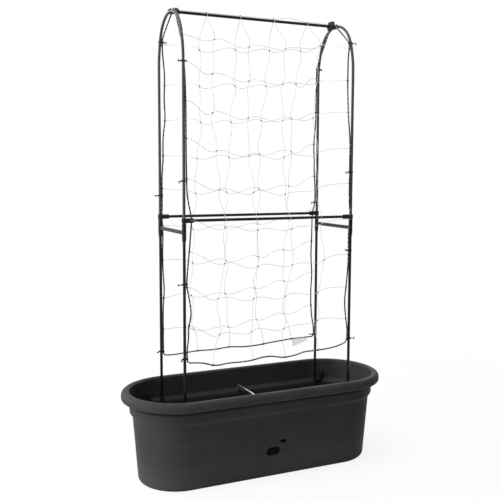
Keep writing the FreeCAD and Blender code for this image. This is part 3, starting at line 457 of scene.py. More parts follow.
def swept(tree, curve, section):
    """A section swept along a curve, with closed ends."""
    tube = add(tree, "GeometryNodeCurveToMesh", Fill_Caps=True)
    link(curve, tube.inputs["Curve"])
    link(section, tube.inputs["Profile Curve"])
    return tube.outputs["Mesh"]


def end_tree(tree, given, geometry):
    """Ends a tree: instances made real, then the finish."""
    whole = add(tree, "GeometryNodeRealizeInstances")
    link(geometry, whole.inputs["Geometry"])
    paint = add(tree, "GeometryNodeSetMaterial")
    link(whole.outputs["Geometry"], paint.inputs["Geometry"])
    link(given["Finish"], paint.inputs["Material"])
    result = add(tree, "NodeGroupOutput")
    link(paint.outputs["Geometry"], result.inputs["Geometry"])


def twisted_tree():
    """Nodes that lay strands in a helix along a polyline; the inputs are sizes in metres."""
    sizes = {"Lay": "Float", "Radius": "Float", "Step": "Float", "Sides": "Int"}
    tree, given = node_tree("twisted_strands", sizes)
    even = even_curve(tree, given)
    section = round_section(tree, given)
    along = add(tree, "GeometryNodeSplineParameter").outputs["Length"]
    normal = add(tree, "GeometryNodeInputNormal").outputs["Normal"]
    tangent = add(tree, "GeometryNodeInputTangent").outputs["Tangent"]
    side = vectors(tree, "CROSS_PRODUCT", tangent, normal)
    turns = maths(tree, "MULTIPLY", maths(tree, "DIVIDE", along, given["Lay"]), 2 * math.pi)
    reach = maths(tree, "MULTIPLY", given["Radius"], STRAND_REACH)
    join = add(tree, "GeometryNodeJoinGeometry")
    for strand in range(STRANDS):
        angle = maths(tree, "ADD", turns, 2 * math.pi * strand / STRANDS)
        across = scaled(tree, normal, maths(tree, "MULTIPLY", maths(tree, "COSINE", angle), reach))
        up = scaled(tree, side, maths(tree, "MULTIPLY", maths(tree, "SINE", angle), reach))
        move = add(tree, "GeometryNodeSetPosition")
        link(even, move.inputs["Geometry"])
        link(vectors(tree, "ADD", across, up), move.inputs["Offset"])
        mark = add(tree, "GeometryNodeStoreNamedAttribute", Name="strand", Value=strand)
        link(swept(tree, move.outputs["Geometry"], section), mark.inputs["Geometry"])
        link(mark.outputs["Geometry"], join.inputs["Geometry"])
    end_tree(tree, given, join.outputs["Geometry"])
    return tree


def finish_nodes(piece, tree, values):
    """Runs a node tree with its inputs set, and leaves a plain smooth mesh."""
    modifier = piece.modifiers.new("nodes", "NODES")
    modifier.node_group = tree
    for socket in tree.interface.items_tree:
        if socket.in_out == "INPUT" and socket.name in values:
            modifier[socket.identifier] = values[socket.name]
    mesh = evaluated_mesh(piece)
    piece.modifiers.clear()
    piece.data = mesh
    mesh.shade_smooth()
    return piece


YARN_CLOUDS = 160
FIBRE_DEPTH = 0.0003


def twine_finish(name, dark, pale, fibre):
    """Polyester yarn: tone that changes along it, a dull sheen and fine fibres."""
    finish, tree, shader = new_finish(name)
    tone = tone_between(tree, object_noise(tree, YARN_CLOUDS, detail=4), dark, pale, low=0.35, high=0.65)
    link(tone, shader.inputs["Base Color"])
    shader.inputs["Roughness"].default_value = 0.7
    shader.inputs["Specular IOR Level"].default_value = 0.2
    shader.inputs["Sheen Weight"].default_value = 0.15
    raise_grain(tree, shader, object_noise(tree, fibre, detail=3), FIBRE_DEPTH, strength=0.5)
    return finish


CORD_FIBRE = 2500
LINT_SCALE = 700
LINT_PALER = 2
LINT_DARKER = 0.6
WEAR_PATCHES = 24
WEAR_LEVEL = 0.5


def cord_finish(name, dark, pale):
    """Dark yarn whose first strand shows pale in worn patches."""
    finish = twine_finish(name, dark, pale, CORD_FIBRE)
    tree = finish.node_tree
    shader = tree.nodes["Principled BSDF"]
    strand = add(tree, "ShaderNodeAttribute")
    strand.attribute_name = "strand"
    lint = object_noise(tree, LINT_SCALE, detail=3)
    dark_tone = tone_between(tree, lint, dark, [LINT_PALER * tone for tone in dark])
    pale_tone = tone_between(tree, lint, [LINT_DARKER * tone for tone in pale], pale)
    blend = add(tree, "ShaderNodeMix")
    blend.data_type = "RGBA"
    first_strand = maths(tree, "LESS_THAN", strand.outputs["Fac"], 0.5)
    worn = maths(tree, "GREATER_THAN", object_noise(tree, WEAR_PATCHES, detail=2), WEAR_LEVEL)
    link(maths(tree, "MULTIPLY", first_strand, worn), blend.inputs["Factor"])
    link(dark_tone, blend.inputs["A"])
    link(pale_tone, blend.inputs["B"])
    link(blend.outputs["Result"], shader.inputs["Base Color"])
    return finish


twisted = twisted_tree()
cord_yarn = cord_finish("cord_yarn", (0.006, 0.008, 0.007), (0.28, 0.36, 0.32))


def lay_cord(name, lines, finish):
    """A piece of twisted cord along one or more lines."""
    piece = new_piece(name, line_mesh(name, lines))
    strand_radius = CORD * STRAND_SHARE
    sizes = {"Lay": CORD_LAY, "Radius": strand_radius, "Step": 0.0016, "Sides": 7, "Finish": finish}
    return finish_nodes(piece, twisted, sizes)


front_line = smooth_line(cord_route(FRONT_LEFT_LEG, FRONT_HEM, FRONT_RIGHT_LEG, -1))
back_line = smooth_line(cord_route(BACK_LEFT_LEG, BACK_HEM, BACK_RIGHT_LEG, 1))
for depth, line, length in (("front", front_line, FRONT_LENGTH), ("back", back_line, BACK_LENGTH)):
    rope = lay_cord("rope_border_" + depth, [line], cord_yarn)
    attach(rope, "trellis")
    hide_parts("border_cord_" + depth)


# Climbing net: pale green twine knotted into meshes about 100 mm wide, hung over the top rail.
# Four columns run from hem to hem, and every row ends in a hitch on the border cord.
# The knots sit askew, so the twine swings in S curves from one to the next.
TENT_PEAK = 1.3096
TENT_SLOPE = 0.1793
TWINE_HALF = 0.0006
HEM_LEVEL = 0.345
RAIL_CLEAR = 0.0052
ROW_TILT = math.radians(33)
COLUMN_LEAN = math.radians(27)
SWING = 0.33
HEM_BAND = 0.015
HEADING_STEP = 0.001
RAIL_LEAN = 0.15
NET_FIBRE = 4000
ROW_ASKEW = (0.6, 1.2)
COLUMN_ASKEW = (0.5, 1.3)
ASKEW = random.Random(11)
# Knots are (across, height) as seen from the front, left to right and from the top row down.
FRONT_KNOTS = [
    [(-0.137, 1.219), (-0.033, 1.206), (0.081, 1.209), (0.195, 1.224)],
    [(-0.149, 1.125), (-0.041, 1.111), (0.063, 1.108), (0.175, 1.117)],
    [(-0.157, 1.019), (-0.052, 1.008), (0.054, 1.005), (0.153, 1.016)],
    [(-0.153, 0.917), (-0.058, 0.905), (0.05, 0.903), (0.157, 0.913)],
    [(-0.152, 0.815), (-0.052, 0.806), (0.045, 0.8), (0.148, 0.814)],
    [(-0.142, 0.713), (-0.045, 0.704), (0.06, 0.704), (0.155, 0.715)],
    [(-0.143, 0.616), (-0.043, 0.603), (0.064, 0.602), (0.166, 0.611)],
    [(-0.162, 0.521), (-0.055, 0.514), (0.043, 0.514), (0.148, 0.519)],
    [(-0.157, 0.422), (-0.061, 0.423), (0.039, 0.422), (0.148, 0.437)],
]
BACK_KNOTS = [
    [(-0.165, 1.194), (-0.057, 1.201), (0.048, 1.207), (0.149, 1.212)],
    [(-0.159, 1.098), (-0.051, 1.104), (0.047, 1.109), (0.144, 1.118)],
    [(-0.148, 1.0), (-0.056, 1.004), (0.04, 1.011), (0.138, 1.021)],
    [(-0.153, 0.899), (-0.054, 0.904), (0.042, 0.914), (0.15, 0.922)],
    [(-0.15, 0.799), (-0.054, 0.802), (0.051, 0.811), (0.151, 0.819)],
    [(-0.155, 0.695), (-0.052, 0.7), (0.053, 0.705), (0.158, 0.717)],
    [(-0.157, 0.596), (-0.051, 0.598), (0.055, 0.605), (0.143, 0.622)],
    [(-0.162, 0.5), (-0.054, 0.499), (0.044, 0.509), (0.145, 0.525)],
    [(-0.155, 0.398), (-0.044, 0.396), (0.05, 0.411), (0.143, 0.423)],
]
RAIL_KNOTS = (-0.152, -0.052, 0.052, 0.159)
FRONT_HEM_ENDS = (-0.176, -0.056, 0.045, 0.152)
BACK_HEM_ENDS = (-0.145, -0.042, 0.074, 0.17)
FRONT_LEFT_ENDS = (1.219, 1.146, 1.045, 0.948, 0.843, 0.735, 0.651, 0.557, 0.453)
FRONT_RIGHT_ENDS = (1.21, 1.12, 1.031, 0.929, 0.829, 0.727, 0.625, 0.529, 0.435)
BACK_LEFT_ENDS = (1.211, 1.103, 1.005, 0.906, 0.812, 0.707, 0.609, 0.499, 0.407)
BACK_RIGHT_ENDS = (1.243, 1.148, 1.043, 0.948, 0.848, 0.747, 0.647, 0.549, 0.443)
# The ridge row lies on the rail, and bulges above it between the last two columns.
RIDGE_ROW = [(-0.225, 1.2915), (-0.152, 1.2914), (-0.1, 1.2914), (-0.052, 1.2914), (0.002, 1.2922),
             (0.052, 1.2914), (0.098, 1.2985), (0.159, 1.2914), (0.225, 1.2915)]


def on_net(across, height, side_y):
    """A place on the net: steep from the ridge to the mid rail, upright from there to the hem."""
    if height > RAIL_LEVEL:
        depth = TENT_SLOPE * (TENT_PEAK - height) + TWINE_HALF
    else:
        fold = TENT_SLOPE * (TENT_PEAK - RAIL_LEVEL) + TWINE_HALF
        depth = HEM_Y + (fold - HEM_Y) * (height - HEM_LEVEL) / (RAIL_LEVEL - HEM_LEVEL)
    return Vector((across, side_y * depth, height))


def place_on(line, axis, value):
    """Where a line first passes a height or a place across."""
    for here, there in zip(line, line[1:]):
        if min(here[axis], there[axis]) <= value <= max(here[axis], there[axis]):
            return here.lerp(there, (value - here[axis]) / (there[axis] - here[axis]))


def hem_place(line, across):
    """The place on a cord's hem run."""
    return place_on([point for point in line if point.z < HEM_LEVEL + HEM_BAND], 0, across)


def flow(places, headings):
    """Bezier points of a thread: each place with handles along its heading, a share of each run long."""
    points = []
    for step, (place, heading) in enumerate(zip(places, headings)):
        before = (place - places[max(step - 1, 0)]).length * SWING
        after = (place - places[min(step + 1, len(places) - 1)]).length * SWING
        points.append((place - heading * before, place, place + heading * after))
    return points


def knot_heading(tilt, side_y, knot):
    """A thread's heading at a knot: a tilt from level, in the net's slope."""
    across = math.cos(tilt) * HEADING_STEP
    rise = math.sin(tilt) * HEADING_STEP
    return (on_net(knot[0] + across, knot[1] + rise, side_y) - on_net(*knot, side_y)).normalized()


def row_thread(knots, left, right, side_y):
    """A row from hitch to hitch; the front's knots tilt it up to the right, the back's to the left."""
    places = [left] + [on_net(*knot, side_y) for knot in knots] + [right]
    level = Vector((1, 0, 0))
    headings = [level]
    for knot in knots:
        tilt = -side_y * ROW_TILT * ASKEW.uniform(*ROW_ASKEW)
        headings.append(knot_heading(tilt, side_y, knot))
    return flow(places, headings + [level])


def column_half(column, knots, hem_end, side_y):
    """A column's places and headings on one side, from the top row down to the hem."""
    places = []
    headings = []
    for row in knots:
        lean = -side_y * COLUMN_LEAN * ASKEW.uniform(*COLUMN_ASKEW)
        places.append(on_net(*row[column], side_y))
        headings.append(-knot_heading(math.pi / 2 - lean, side_y, row[column]))
    down = Vector((0, 0, -1))
    return places + [hem_end], headings + [down]


def column_thread(column):
    """A column from the front hem over the rail to the back hem."""
    front_hem = hem_place(front_line, FRONT_HEM_ENDS[column])
    back_hem = hem_place(back_line, BACK_HEM_ENDS[column])
    front, front_heads = column_half(column, FRONT_KNOTS, front_hem, -1)
    back, back_heads = column_half(column, BACK_KNOTS, back_hem, 1)
    across = RAIL_KNOTS[column]
    ridge = Vector((across, 0, TOP_LEVEL + RAIL_CLEAR))
    front_side = Vector((across, -RAIL_CLEAR, TOP_LEVEL))
    back_side = Vector((across, RAIL_CLEAR, TOP_LEVEL))
    places = front[::-1] + [front_side, ridge, back_side] + back
    up = Vector((0, RAIL_LEAN, 1)).normalized()
    over = Vector((0, 1, 0))
    down = Vector((0, RAIL_LEAN, -1)).normalized()
    headings = [-heading for heading in front_heads[::-1]] + [up, over, down] + back_heads
    return flow(places, headings)


def thread_lines(name, threads):
    """The threads' polylines, as the edges of one mesh."""
    curve = bpy.data.curves.new(name, "CURVE")
    curve.dimensions = "3D"
    for thread in threads:
        spline = curve.splines.new("BEZIER")
        spline.bezier_points.add(len(thread) - 1)
        spline.resolution_u = 10
        for point, (before, place, after) in zip(spline.bezier_points, thread):
            point.handle_left_type = "FREE"
            point.handle_right_type = "FREE"
            point.co = place
            point.handle_left = before
            point.handle_right = after
    holder = new_piece(name, curve)
    mesh = evaluated_mesh(holder)
    bpy.data.objects.remove(holder)
    return mesh


def round_twine_tree():
    """Nodes that give a polyline the round body of thin twine; the inputs are sizes in metres."""
    tree, given = node_tree("round_twine", {"Radius": "Float", "Step": "Float", "Sides": "Int"})
    end_tree(tree, given, swept(tree, even_curve(tree, given), round_section(tree, given)))
    return tree


hitches = []
threads = [column_thread(column) for column in range(len(RAIL_KNOTS))]
for front_end, back_end in zip(FRONT_HEM_ENDS, BACK_HEM_ENDS):
    hitches += [hem_place(front_line, front_end), hem_place(back_line, back_end)]
for side_y, line, rows, left_ends, right_ends in (
        (-1, front_line, FRONT_KNOTS, FRONT_LEFT_ENDS, FRONT_RIGHT_ENDS),
        (1, back_line, BACK_KNOTS, BACK_LEFT_ENDS, BACK_RIGHT_ENDS)):
    for knots, left_end, right_end in zip(rows, left_ends, right_ends):
        left = place_on(line, 2, left_end)
        right = place_on(line[::-1], 2, right_end)
        threads.append(row_thread(knots, left, right, side_y))
        hitches += [left, right]
ridge_places = [Vector((across, 0, height)) for across, height in RIDGE_ROW]
threads.append(flow(ridge_places, [Vector((1, 0, 0))] * len(ridge_places)))
net_twine = twine_finish("net_twine", (0.36, 0.5, 0.42), (0.6, 0.75, 0.66), NET_FIBRE)
net = new_piece("net_threads", thread_lines("net_threads", threads))
twine_sizes = {"Radius": TWINE_HALF, "Step": 0.0035, "Sides": 6, "Finish": net_twine}
finish_nodes(net, round_twine_tree(), twine_sizes)
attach(net, "trellis")
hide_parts("net_front", "net_back", "net_slope_front", "net_slope_back", "net_edge_threads")


# Net knots: a tight overhand knot at every crossing, and a larger hitch where a thread meets the cord.
# They are the net's own twine, painted much darker as the shade in their folds.
KNOT_SCALE = 0.00072
KNOT_STEPS = 24
KNOT_DEPTH = 1.4


def overhand(turn, depth):
    """A place on a three-lobed overhand knot of unit size."""
    across = math.sin(turn) + 2 * math.sin(2 * turn)
    along = math.cos(turn) - 2 * math.cos(2 * turn)
    return Vector((across, along, -depth * math.sin(3 * turn)))


def knot_shape():
    """An overhand knot of twine, a few millimetres across."""
    curve = bpy.data.curves.new("knot_shape", "CURVE")
    curve.dimensions = "3D"
    curve.bevel_depth = TWINE_HALF
    curve.bevel_resolution = 0
    spline = curve.splines.new("POLY")
    spline.points.add(KNOT_STEPS - 1)
    spline.use_cyclic_u = True
    for step, point in enumerate(spline.points):
        turn = 2 * math.pi * step / KNOT_STEPS
        point.co = (*(overhand(turn, KNOT_DEPTH) * KNOT_SCALE), 1)
    holder = new_piece("knot_shape", curve)
    knot = new_piece("one_knot", evaluated_mesh(holder))
    bpy.data.objects.remove(holder)
    return knot


def knots_tree():
    """Nodes that set a knot on every point, each turned its own way."""
    tree, given = node_tree("set_knots", {"Knot": "Object", "Size": "Float", "Seed": "Int"})
    shape = add(tree, "GeometryNodeObjectInfo")
    link(given["Knot"], shape.inputs["Object"])
    turn = add(tree, "FunctionNodeRandomValue")
    turn.data_type = "FLOAT_VECTOR"
    turn.inputs["Max"].default_value = (math.pi, math.pi, math.pi)
    link(given["Seed"], turn.inputs["Seed"])
    setter = add(tree, "GeometryNodeInstanceOnPoints")
    link(given["Geometry"], setter.inputs["Points"])
    link(shape.outputs["Geometry"], setter.inputs["Instance"])
    link(turn.outputs["Value"], setter.inputs["Rotation"])
    link(given["Size"], setter.inputs["Scale"])
    end_tree(tree, given, setter.outputs["Instances"])
    return tree


crossings = [on_net(*knot, -1) for row in FRONT_KNOTS for knot in row]
crossings += [on_net(*knot, 1) for row in BACK_KNOTS for knot in row]
crossings += [Vector((across, 0, TOP_LEVEL + RAIL_CLEAR + TWINE_HALF)) for across in RAIL_KNOTS]
# A much darker copy of the net twine: painted shade in the knots' folds.
knot_shade_twine = twine_finish("knot_shade_twine", (0.025, 0.035, 0.03), (0.08, 0.11, 0.095), NET_FIBRE)
set_knots = knots_tree()
one_knot = knot_shape()
for name, places, size, seed in (("net_knots", crossings, 1.0, 3), ("net_hitches", hitches, 1.5, 5)):
    points = bpy.data.meshes.new(name)
    points.from_pydata([tuple(place) for place in places], [], [])
    knots = new_piece(name, points)
    finish_nodes(knots, set_knots, {"Knot": one_knot, "Size": size, "Seed": seed, "Finish": knot_shade_twine})
    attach(knots, "trellis")
bpy.data.objects.remove(one_knot)


# Apex lashings: turns of the border cord round the top rail's sockets, tied off on top.
# The right one has a second layer of turns and a bulky knot.
LASHING_START = 0.2417
LASHING_PITCH = 0.0043
LASHING_RADIUS = 0.0091
LASHING_LAYER = 0.0036
TURN_POINTS = 12


def lashing_route(side_x, turns, back_turns):
    """Turns round a socket towards the middle, and back over them in a second layer."""
    last = round(turns * TURN_POINTS)
    route = []
    for step in range(last + round(back_turns * TURN_POINTS) + 1):
        inward = step if step <= last else 2 * last - step
        radius = LASHING_RADIUS if step <= last else LASHING_RADIUS + LASHING_LAYER
        angle = 2 * math.pi * step / TURN_POINTS
        x = side_x * (LASHING_START - LASHING_PITCH * inward / TURN_POINTS)
        route.append(Vector((x, -radius * math.sin(angle), TOP_LEVEL + radius * math.cos(angle))))
    return route


def tied_knot(centre, size):
    """A loose overhand knot of cord."""
    turns = [math.pi * step / TURN_POINTS for step in range(2 * TURN_POINTS)]
    return [Vector(centre) + overhand(turn, 1) * size for turn in turns]


left_turns = smooth_line(lashing_route(-1, turns=1.6, back_turns=0))
right_turns = smooth_line(lashing_route(1, turns=1.5, back_turns=1.3))
right_knot = smooth_line(tied_knot(centre=(0.2425, -0.006, 1.2965), size=0.0017))
lash_yarn = cord_finish("lash_yarn", (0.008, 0.01, 0.009), (0.03, 0.04, 0.035))
lashings = lay_cord("apex_lashings", [left_turns, right_turns, right_knot], lash_yarn)
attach(lashings, "trellis")
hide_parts("apex_knots")


# Ties: black nylon straps pulled tight round post and cord, each closed by a small lock head.
# Their tails were left on, and end in a fork or a knob.
TUBE = 0.008
CORD_INBOARD = 0.006372
STRAP_GAP = 0.0002
STRAP_THICK = 0.0012
STRAP_HALF_HEIGHT = 0.0016
STRAP_CHAMFER = 0.0003
STRAP_STEPS = 40
HEAD_SIZE = (0.004, 0.0036, 0.0046)
TAIL_RADIUS = 0.0011
TAIL_SAG = 0.0008
TAIL_FLATNESS = 0.6
PRONG_RADIUS = 0.0014
PRONG_LENGTH = 0.0042
PRONG_FLATNESS = 0.7
KNOB_RADIUS = 0.0024
KNOB_FLATNESS = 0.9
# Ties are (height, way across that the tail points, droop of the tail in degrees, tail length,
# half opening of the tail's fork in degrees), with no opening for a knob.
TIE_ROWS = {
    "front_left": [(1.145, -1, 0, 0.0045, 40), (0.838, -1, 22, 0.005, 45),
                   (0.565, -1, 3, 0.009, 0), (0.364, -1, 55, 0.0025, 30)],
    "front_right": [(1.227, 1, 0, 0.01, 70), (0.862, -1, 8, 0.006, 45),
                    (0.636, -1, -12, 0.003, 40), (0.375, 1, 4, 0.011, 75)],
    "back_left": [(1.218, 1, 12, 0.005, 45), (0.794, -1, 4, 0.006, 0), (0.343, -1, 25, 0.004, 0)],
    "back_right": [(1.174, 1, 15, 0.003, 0), (0.768, -1, 15, 0.006, 60), (0.349, -1, -6, 0.008, 0)],
}


class Shells:
    """Closed shells gathered for one mesh."""

    def __init__(self):
        self.places = []
        self.faces = []

    def skin(self, rings, closed_loop=False):
        """Skins rings of equally many places, as a closed loop or with a cap at each end."""
        size = len(rings[0])
        first = len(self.places)
        for ring in rings:
            self.places += ring
        last = len(rings) if closed_loop else len(rings) - 1
        for row in range(last):
            here = first + row * size
            there = first + (row + 1) % len(rings) * size
            for step in range(size):
                after = (step + 1) % size
                self.faces.append((here + step, here + after, there + after, there + step))
        if not closed_loop:
            self.faces.append(tuple(range(first, first + size))[::-1])
            self.faces.append(tuple(range(first + (len(rings) - 1) * size, first + len(rings) * size)))

    def mesh(self, name, finish):
        """The shells as one mesh with its faces outward."""
        made = bpy.data.meshes.new(name)
        made.from_pydata([tuple(place) for place in self.places], [], self.faces)
        shape = bmesh.new()
        shape.from_mesh(made)
        bmesh.ops.recalc_face_normals(shape, faces=shape.faces)
        shape.to_mesh(made)
        shape.free()
        made.materials.append(finish)
        made.shade_smooth()
        return made


ROD_SIDES = 10
ROD_MIDDLE = (0.3, 0.5, 0.7)
# A rounded end is (radii from the end, share of the radius).
ROUND_END = ((0.0, 0.25), (0.12, 0.62), (0.4, 0.92), (0.85, 1.0))


def round_rod(shells, start, end, radius, sag, flatness):
    """A rod with rounded ends that sags a little, flattened across its depth."""
    run = end - start
    way = run.normalized()
    up = Vector((-way.z, 0, way.x))
    length = run.length
    marks = [(share * radius, size) for share, size in ROUND_END]
    marks += [(length * share, 1.0) for share in ROD_MIDDLE]
    marks += [(length - share * radius, size) for share, size in ROUND_END[::-1]]
    rings = []
    for along, size in marks:
        drop = Vector((0, 0, -4 * sag * (along / length) * (1 - along / length)))
        middle = start + way * along + drop
        ring = []
        for step in range(ROD_SIDES):
            angle = 2 * math.pi * step / ROD_SIDES
            depth = Vector((0, radius * size * flatness * math.sin(angle), 0))
            ring.append(middle + up * (radius * size * math.cos(angle)) + depth)
        rings.append(ring)
    shells.skin(rings)


def strap_band(shells, cord_place):
    """The strap's closed loop round the post at the origin and the cord beside it."""
    low, high = STRAP_CHAMFER, STRAP_THICK - STRAP_CHAMFER
    edge, inset = STRAP_HALF_HEIGHT, STRAP_HALF_HEIGHT - STRAP_CHAMFER
    section = [(0, -inset), (0, inset), (low, edge), (high, edge),
               (STRAP_THICK, inset), (STRAP_THICK, -inset), (high, -edge), (low, -edge)]
    rings = []
    for step in range(STRAP_STEPS):
        angle = 2 * math.pi * step / STRAP_STEPS
        out = Vector((math.cos(angle), math.sin(angle), 0))
        if cord_place.dot(out) + CORD / 2 > TUBE / 2:
            skin = cord_place + out * (CORD / 2 + STRAP_GAP)
        else:
            skin = out * (TUBE / 2 + STRAP_GAP)
        rings.append([skin + out * depth + Vector((0, 0, height)) for depth, height in section])
    shells.skin(rings, closed_loop=True)


def lock_head(shells, centre):
    """The lock head: a small block with chamfered edges."""
    half_x, half_y, half_z = (size / 2 for size in HEAD_SIZE)
    cut = STRAP_CHAMFER * 2
    rings = []
    for along, inset in ((-half_x, cut), (cut - half_x, 0), (half_x - cut, 0), (half_x, cut)):
        wide, tall = half_y - inset, half_z - inset
        corners = [(-wide + cut, -tall), (wide - cut, -tall), (wide, -tall + cut), (wide, tall - cut),
                   (wide - cut, tall), (-wide + cut, tall), (-wide, tall - cut), (-wide, -tall + cut)]
        rings.append([centre + Vector((along, y, z)) for y, z in corners])
    shells.skin(rings)


def one_tie(way, droop, length, opening, side_x, side_y):
    """A tie round a post at the origin, with its tail across the post."""
    shells = Shells()
    cord_place = Vector((-side_x * CORD_INBOARD, side_y * CORD_OUTBOARD, 0))
    strap_band(shells, cord_place)
    inboard = way == -side_x
    reach = CORD_INBOARD + CORD / 2 if inboard else TUBE / 2
    root = Vector((way * (reach + STRAP_GAP + STRAP_THICK), side_y * CORD_OUTBOARD if inboard else 0, 0))
    lock_head(shells, root + Vector((way * HEAD_SIZE[0] / 4, 0, 0)))
    angle = math.radians(droop)
    along = Vector((way * math.cos(angle), 0, -math.sin(angle)))
    tip = root + along * (HEAD_SIZE[0] / 2 + length)
    round_rod(shells, root, tip, TAIL_RADIUS, TAIL_SAG, TAIL_FLATNESS)
    if opening:
        for side in (-1, 1):
            turn = angle + side * math.radians(opening)
            prong = Vector((way * math.cos(turn), 0, -math.sin(turn)))
            start, end = tip - along * TAIL_RADIUS, tip + prong * PRONG_LENGTH
            round_rod(shells, start, end, PRONG_RADIUS, 0, PRONG_FLATNESS)
    else:
        start, end = tip - along * KNOB_RADIUS, tip + along * KNOB_RADIUS
        round_rod(shells, start, end, KNOB_RADIUS, 0, KNOB_FLATNESS)
    return shells


tie_nylon = moulded_plastic("tie_nylon", dark=0.006, pale=0.012, roughness=0.35, specular=0.12, grain=0.1)
for corner, rows in TIE_ROWS.items():
    side_y = -1 if corner.startswith("front") else 1
    side_x = -1 if corner.endswith("left") else 1
    straps = Shells()
    for height, way, droop, length, opening in rows:
        tie = one_tie(way, droop, length, opening, side_x, side_y)
        post = Vector((side_x * ARCH_X, side_y * upright_y(height), height))
        set_on_post = Matrix.Translation(post) @ Matrix.Rotation(side_y * upright_lean(height), 4, "X")
        first = len(straps.places)
        straps.places += [set_on_post @ place for place in tie.places]
        straps.faces += [tuple(first + index for index in face) for face in tie.faces]
    strap_piece = new_piece("straps_" + corner, straps.mesh("straps_" + corner, tie_nylon))
    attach(strap_piece, "trellis")
    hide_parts("ties_" + corner)


# Blank tag: a strip of clear milky film folded over the back hem, with both leaves hanging.
# Thin plastic, slightly creased and cut on the slant, so the leaves are longer at their left.
# They part a little towards their lower edge.
TAG_ACROSS = 14
TAG_DOWN = 12
TAG_WIDTH = 0.049
LEFT_LEAF = 0.0255
RIGHT_LEAF = 0.0105
TAG_FILM = 0.0002
FOLD_GAP = 0.0006
LEAF_PARTING = 0.002
RIPPLE = 0.0009
RIPPLE_TURN = 5
FILM_CLOUDS = 90
CREASE_SCALE = 70
CREASE_DEPTH = 0.002
FILM_DARK = (0.87, 0.88, 0.93)
FILM_PALE = (0.93, 0.935, 0.96)
tag_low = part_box("blank_tag")[0]
film, film_tree, film_shader = new_finish("tag_film")
film_tone = tone_between(film_tree, object_noise(film_tree, FILM_CLOUDS, detail=3), FILM_DARK, FILM_PALE)
link(film_tone, film_shader.inputs["Base Color"])
film_shader.inputs["Roughness"].default_value = 0.45
film_shader.inputs["IOR"].default_value = 1.15
film_shader.inputs["Transmission Weight"].default_value = 0.9
film_creases = object_noise(film_tree, CREASE_SCALE, detail=3)
raise_grain(film_tree, film_shader, film_creases, CREASE_DEPTH, strength=0.5)

tag_places = []
tag_faces = []
fold_radius = CORD / 2 + FOLD_GAP
fold_run = math.pi / 2 * fold_radius
for down in range(2 * TAG_DOWN + 1):
    for step in range(TAG_ACROSS + 1):
        share = step / TAG_ACROSS
        leaf_drop = LEFT_LEAF + (RIGHT_LEAF - LEFT_LEAF) * share
        travel = (down / TAG_DOWN - 1) * (leaf_drop + fold_run)
        beyond = max(0, abs(travel) - fold_run)
        angle = min(abs(travel) / fold_radius, math.pi / 2)
        leaf = math.copysign(1, travel)
        spread = beyond / leaf_drop
        x = tag_low[0] + TAG_WIDTH * share
        hem_z = hem_place(back_line, x).z
        ripple = RIPPLE * spread * math.sin(RIPPLE_TURN * share + leaf)
        y = HEM_Y + leaf * (fold_radius * math.sin(angle) + LEAF_PARTING * spread ** 2) + ripple
        z = hem_z + fold_radius * math.cos(angle) - beyond
        tag_places.append((x, y, z))
for down in range(2 * TAG_DOWN):
    for step in range(TAG_ACROSS):
        first = down * (TAG_ACROSS + 1) + step
        tag_faces.append((first, first + 1, first + TAG_ACROSS + 2, first + TAG_ACROSS + 1))
tag_mesh = bpy.data.meshes.new("film_tag")
tag_mesh.from_pydata(tag_places, [], tag_faces)
tag_mesh.materials.append(film)
tag_mesh.shade_smooth()
tag = new_piece("film_tag", tag_mesh)
film_wall = tag.modifiers.new("film", "SOLIDIFY")
film_wall.thickness = TAG_FILM
film_wall.offset = 0
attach(tag, "trellis")
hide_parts("blank_tag")


# Floor, light and camera: a plain white floor and soft light from the upper left.
# The camera's place and lens were solved from the photo.
FLOOR_HALF = 6
FLOOR_GREY = (0.9, 0.9, 0.9, 1)
WHITE = (1, 1, 1, 1)
FLOOR_GLOW = 0.88
FADE_START = 0.5
FADE_END = 2.2
AMBIENT = 0.05
CAMERA_PLACE = (-0.9494, -1.9849, 0.8654)
CAMERA_TURN = math.radians(-25.1)
CAMERA_DIP = math.radians(5.921)
CAMERA_ROLL = math.radians(0.193)
CAMERA_LENS = 55.146

floor_mesh = bpy.data.meshes.new("floor")
floor_mesh.from_pydata([(-FLOOR_HALF, -FLOOR_HALF, 0), (FLOOR_HALF, -FLOOR_HALF, 0),
                        (FLOOR_HALF, FLOOR_HALF, 0), (-FLOOR_HALF, FLOOR_HALF, 0)], [], [(0, 1, 2, 3)])
floor = new_piece("floor", floor_mesh)


def seen_directly(tree):
    """One where the camera, a reflection or a view through something looks at a surface, else zero."""
    light = add(tree, "ShaderNodeLightPath").outputs
    mirrored = maths(tree, "MAXIMUM", light["Is Camera Ray"], light["Is Glossy Ray"])
    return maths(tree, "MAXIMUM", mirrored, light["Is Transmission Ray"])


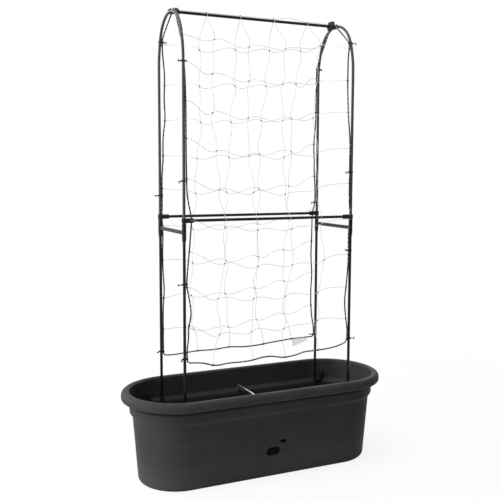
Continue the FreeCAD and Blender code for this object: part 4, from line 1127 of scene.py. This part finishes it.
floor_paint = bpy.data.materials.new("floor_paint")
floor_paint.use_nodes = True
paint_tree = floor_paint.node_tree
paint_tree.nodes.clear()
matt = add(paint_tree, "ShaderNodeBsdfDiffuse", Color=FLOOR_GREY)
glow = add(paint_tree, "ShaderNodeEmission", Color=WHITE, Strength=1)
floor_mix = add(paint_tree, "ShaderNodeMixShader")
floor_out = add(paint_tree, "ShaderNodeOutputMaterial")
floor_place = add(paint_tree, "ShaderNodeTexCoord")
floor_reach = add(paint_tree, "ShaderNodeVectorMath")
floor_reach.operation = "LENGTH"
link(floor_place.outputs["Object"], floor_reach.inputs[0])
floor_fade = value_between(paint_tree, floor_reach.outputs["Value"], FLOOR_GLOW, 1, FADE_START, FADE_END)
floor_share = maths(paint_tree, "MULTIPLY", seen_directly(paint_tree), floor_fade)
link(floor_share, floor_mix.inputs["Fac"])
link(matt.outputs[0], floor_mix.inputs[1])
link(glow.outputs[0], floor_mix.inputs[2])
link(floor_mix.outputs[0], floor_out.inputs["Surface"])
floor_mesh.materials.append(floor_paint)

world = bpy.data.worlds.new("white_room")
bpy.context.scene.world = world
world.use_nodes = True
room = world.node_tree
backdrop = room.nodes["Background"]
backdrop.inputs["Color"].default_value = WHITE
room_light = value_between(room, seen_directly(room), AMBIENT, 1)
link(room_light, backdrop.inputs["Strength"])

# Lamps are (name, place, the point they face, width, height, power in watts).
LAMPS = [
    ("left_lamp", (-2.3, -0.3, 1.0), (0, 0, 0.6), 1.4, 1.6, 37),
    ("back_left_lamp", (-2.0, 1.9, 1.5), (0, 0, 0.9), 3.0, 1.5, 64),
    ("back_right_lamp", (1.9, 2.3, 1.9), (0, 0, 0.4), 1.6, 1.4, 28),
    ("overhead_lamp", (0.1, 0.3, 3.0), (0, 0, 0.2), 1.6, 1.2, 22),
    ("top_lamp", (-1.1, -0.7, 2.9), (0, 0, 0.2), 1.6, 1.6, 56),
]
for name, place, target, width, height, power in LAMPS:
    lamp = bpy.data.lights.new(name, "AREA")
    lamp.shape = "RECTANGLE"
    lamp.size = width
    lamp.size_y = height
    lamp.energy = power
    holder = new_piece(name, lamp)
    holder.location = place
    holder.rotation_euler = (Vector(target) - Vector(place)).to_track_quat("-Z", "Y").to_euler()

camera = new_piece("camera", bpy.data.cameras.new("camera"))
camera.data.sensor_width = 36
camera.data.lens = CAMERA_LENS
turned = Matrix.Translation(CAMERA_PLACE) @ Matrix.Rotation(CAMERA_TURN, 4, "Z")
dipped = turned @ Matrix.Rotation(math.pi / 2 - CAMERA_DIP, 4, "X")
camera.matrix_world = dipped @ Matrix.Rotation(CAMERA_ROLL, 4, "Z")
bpy.context.scene.camera = camera
bpy.context.scene.view_settings.view_transform = "Standard"
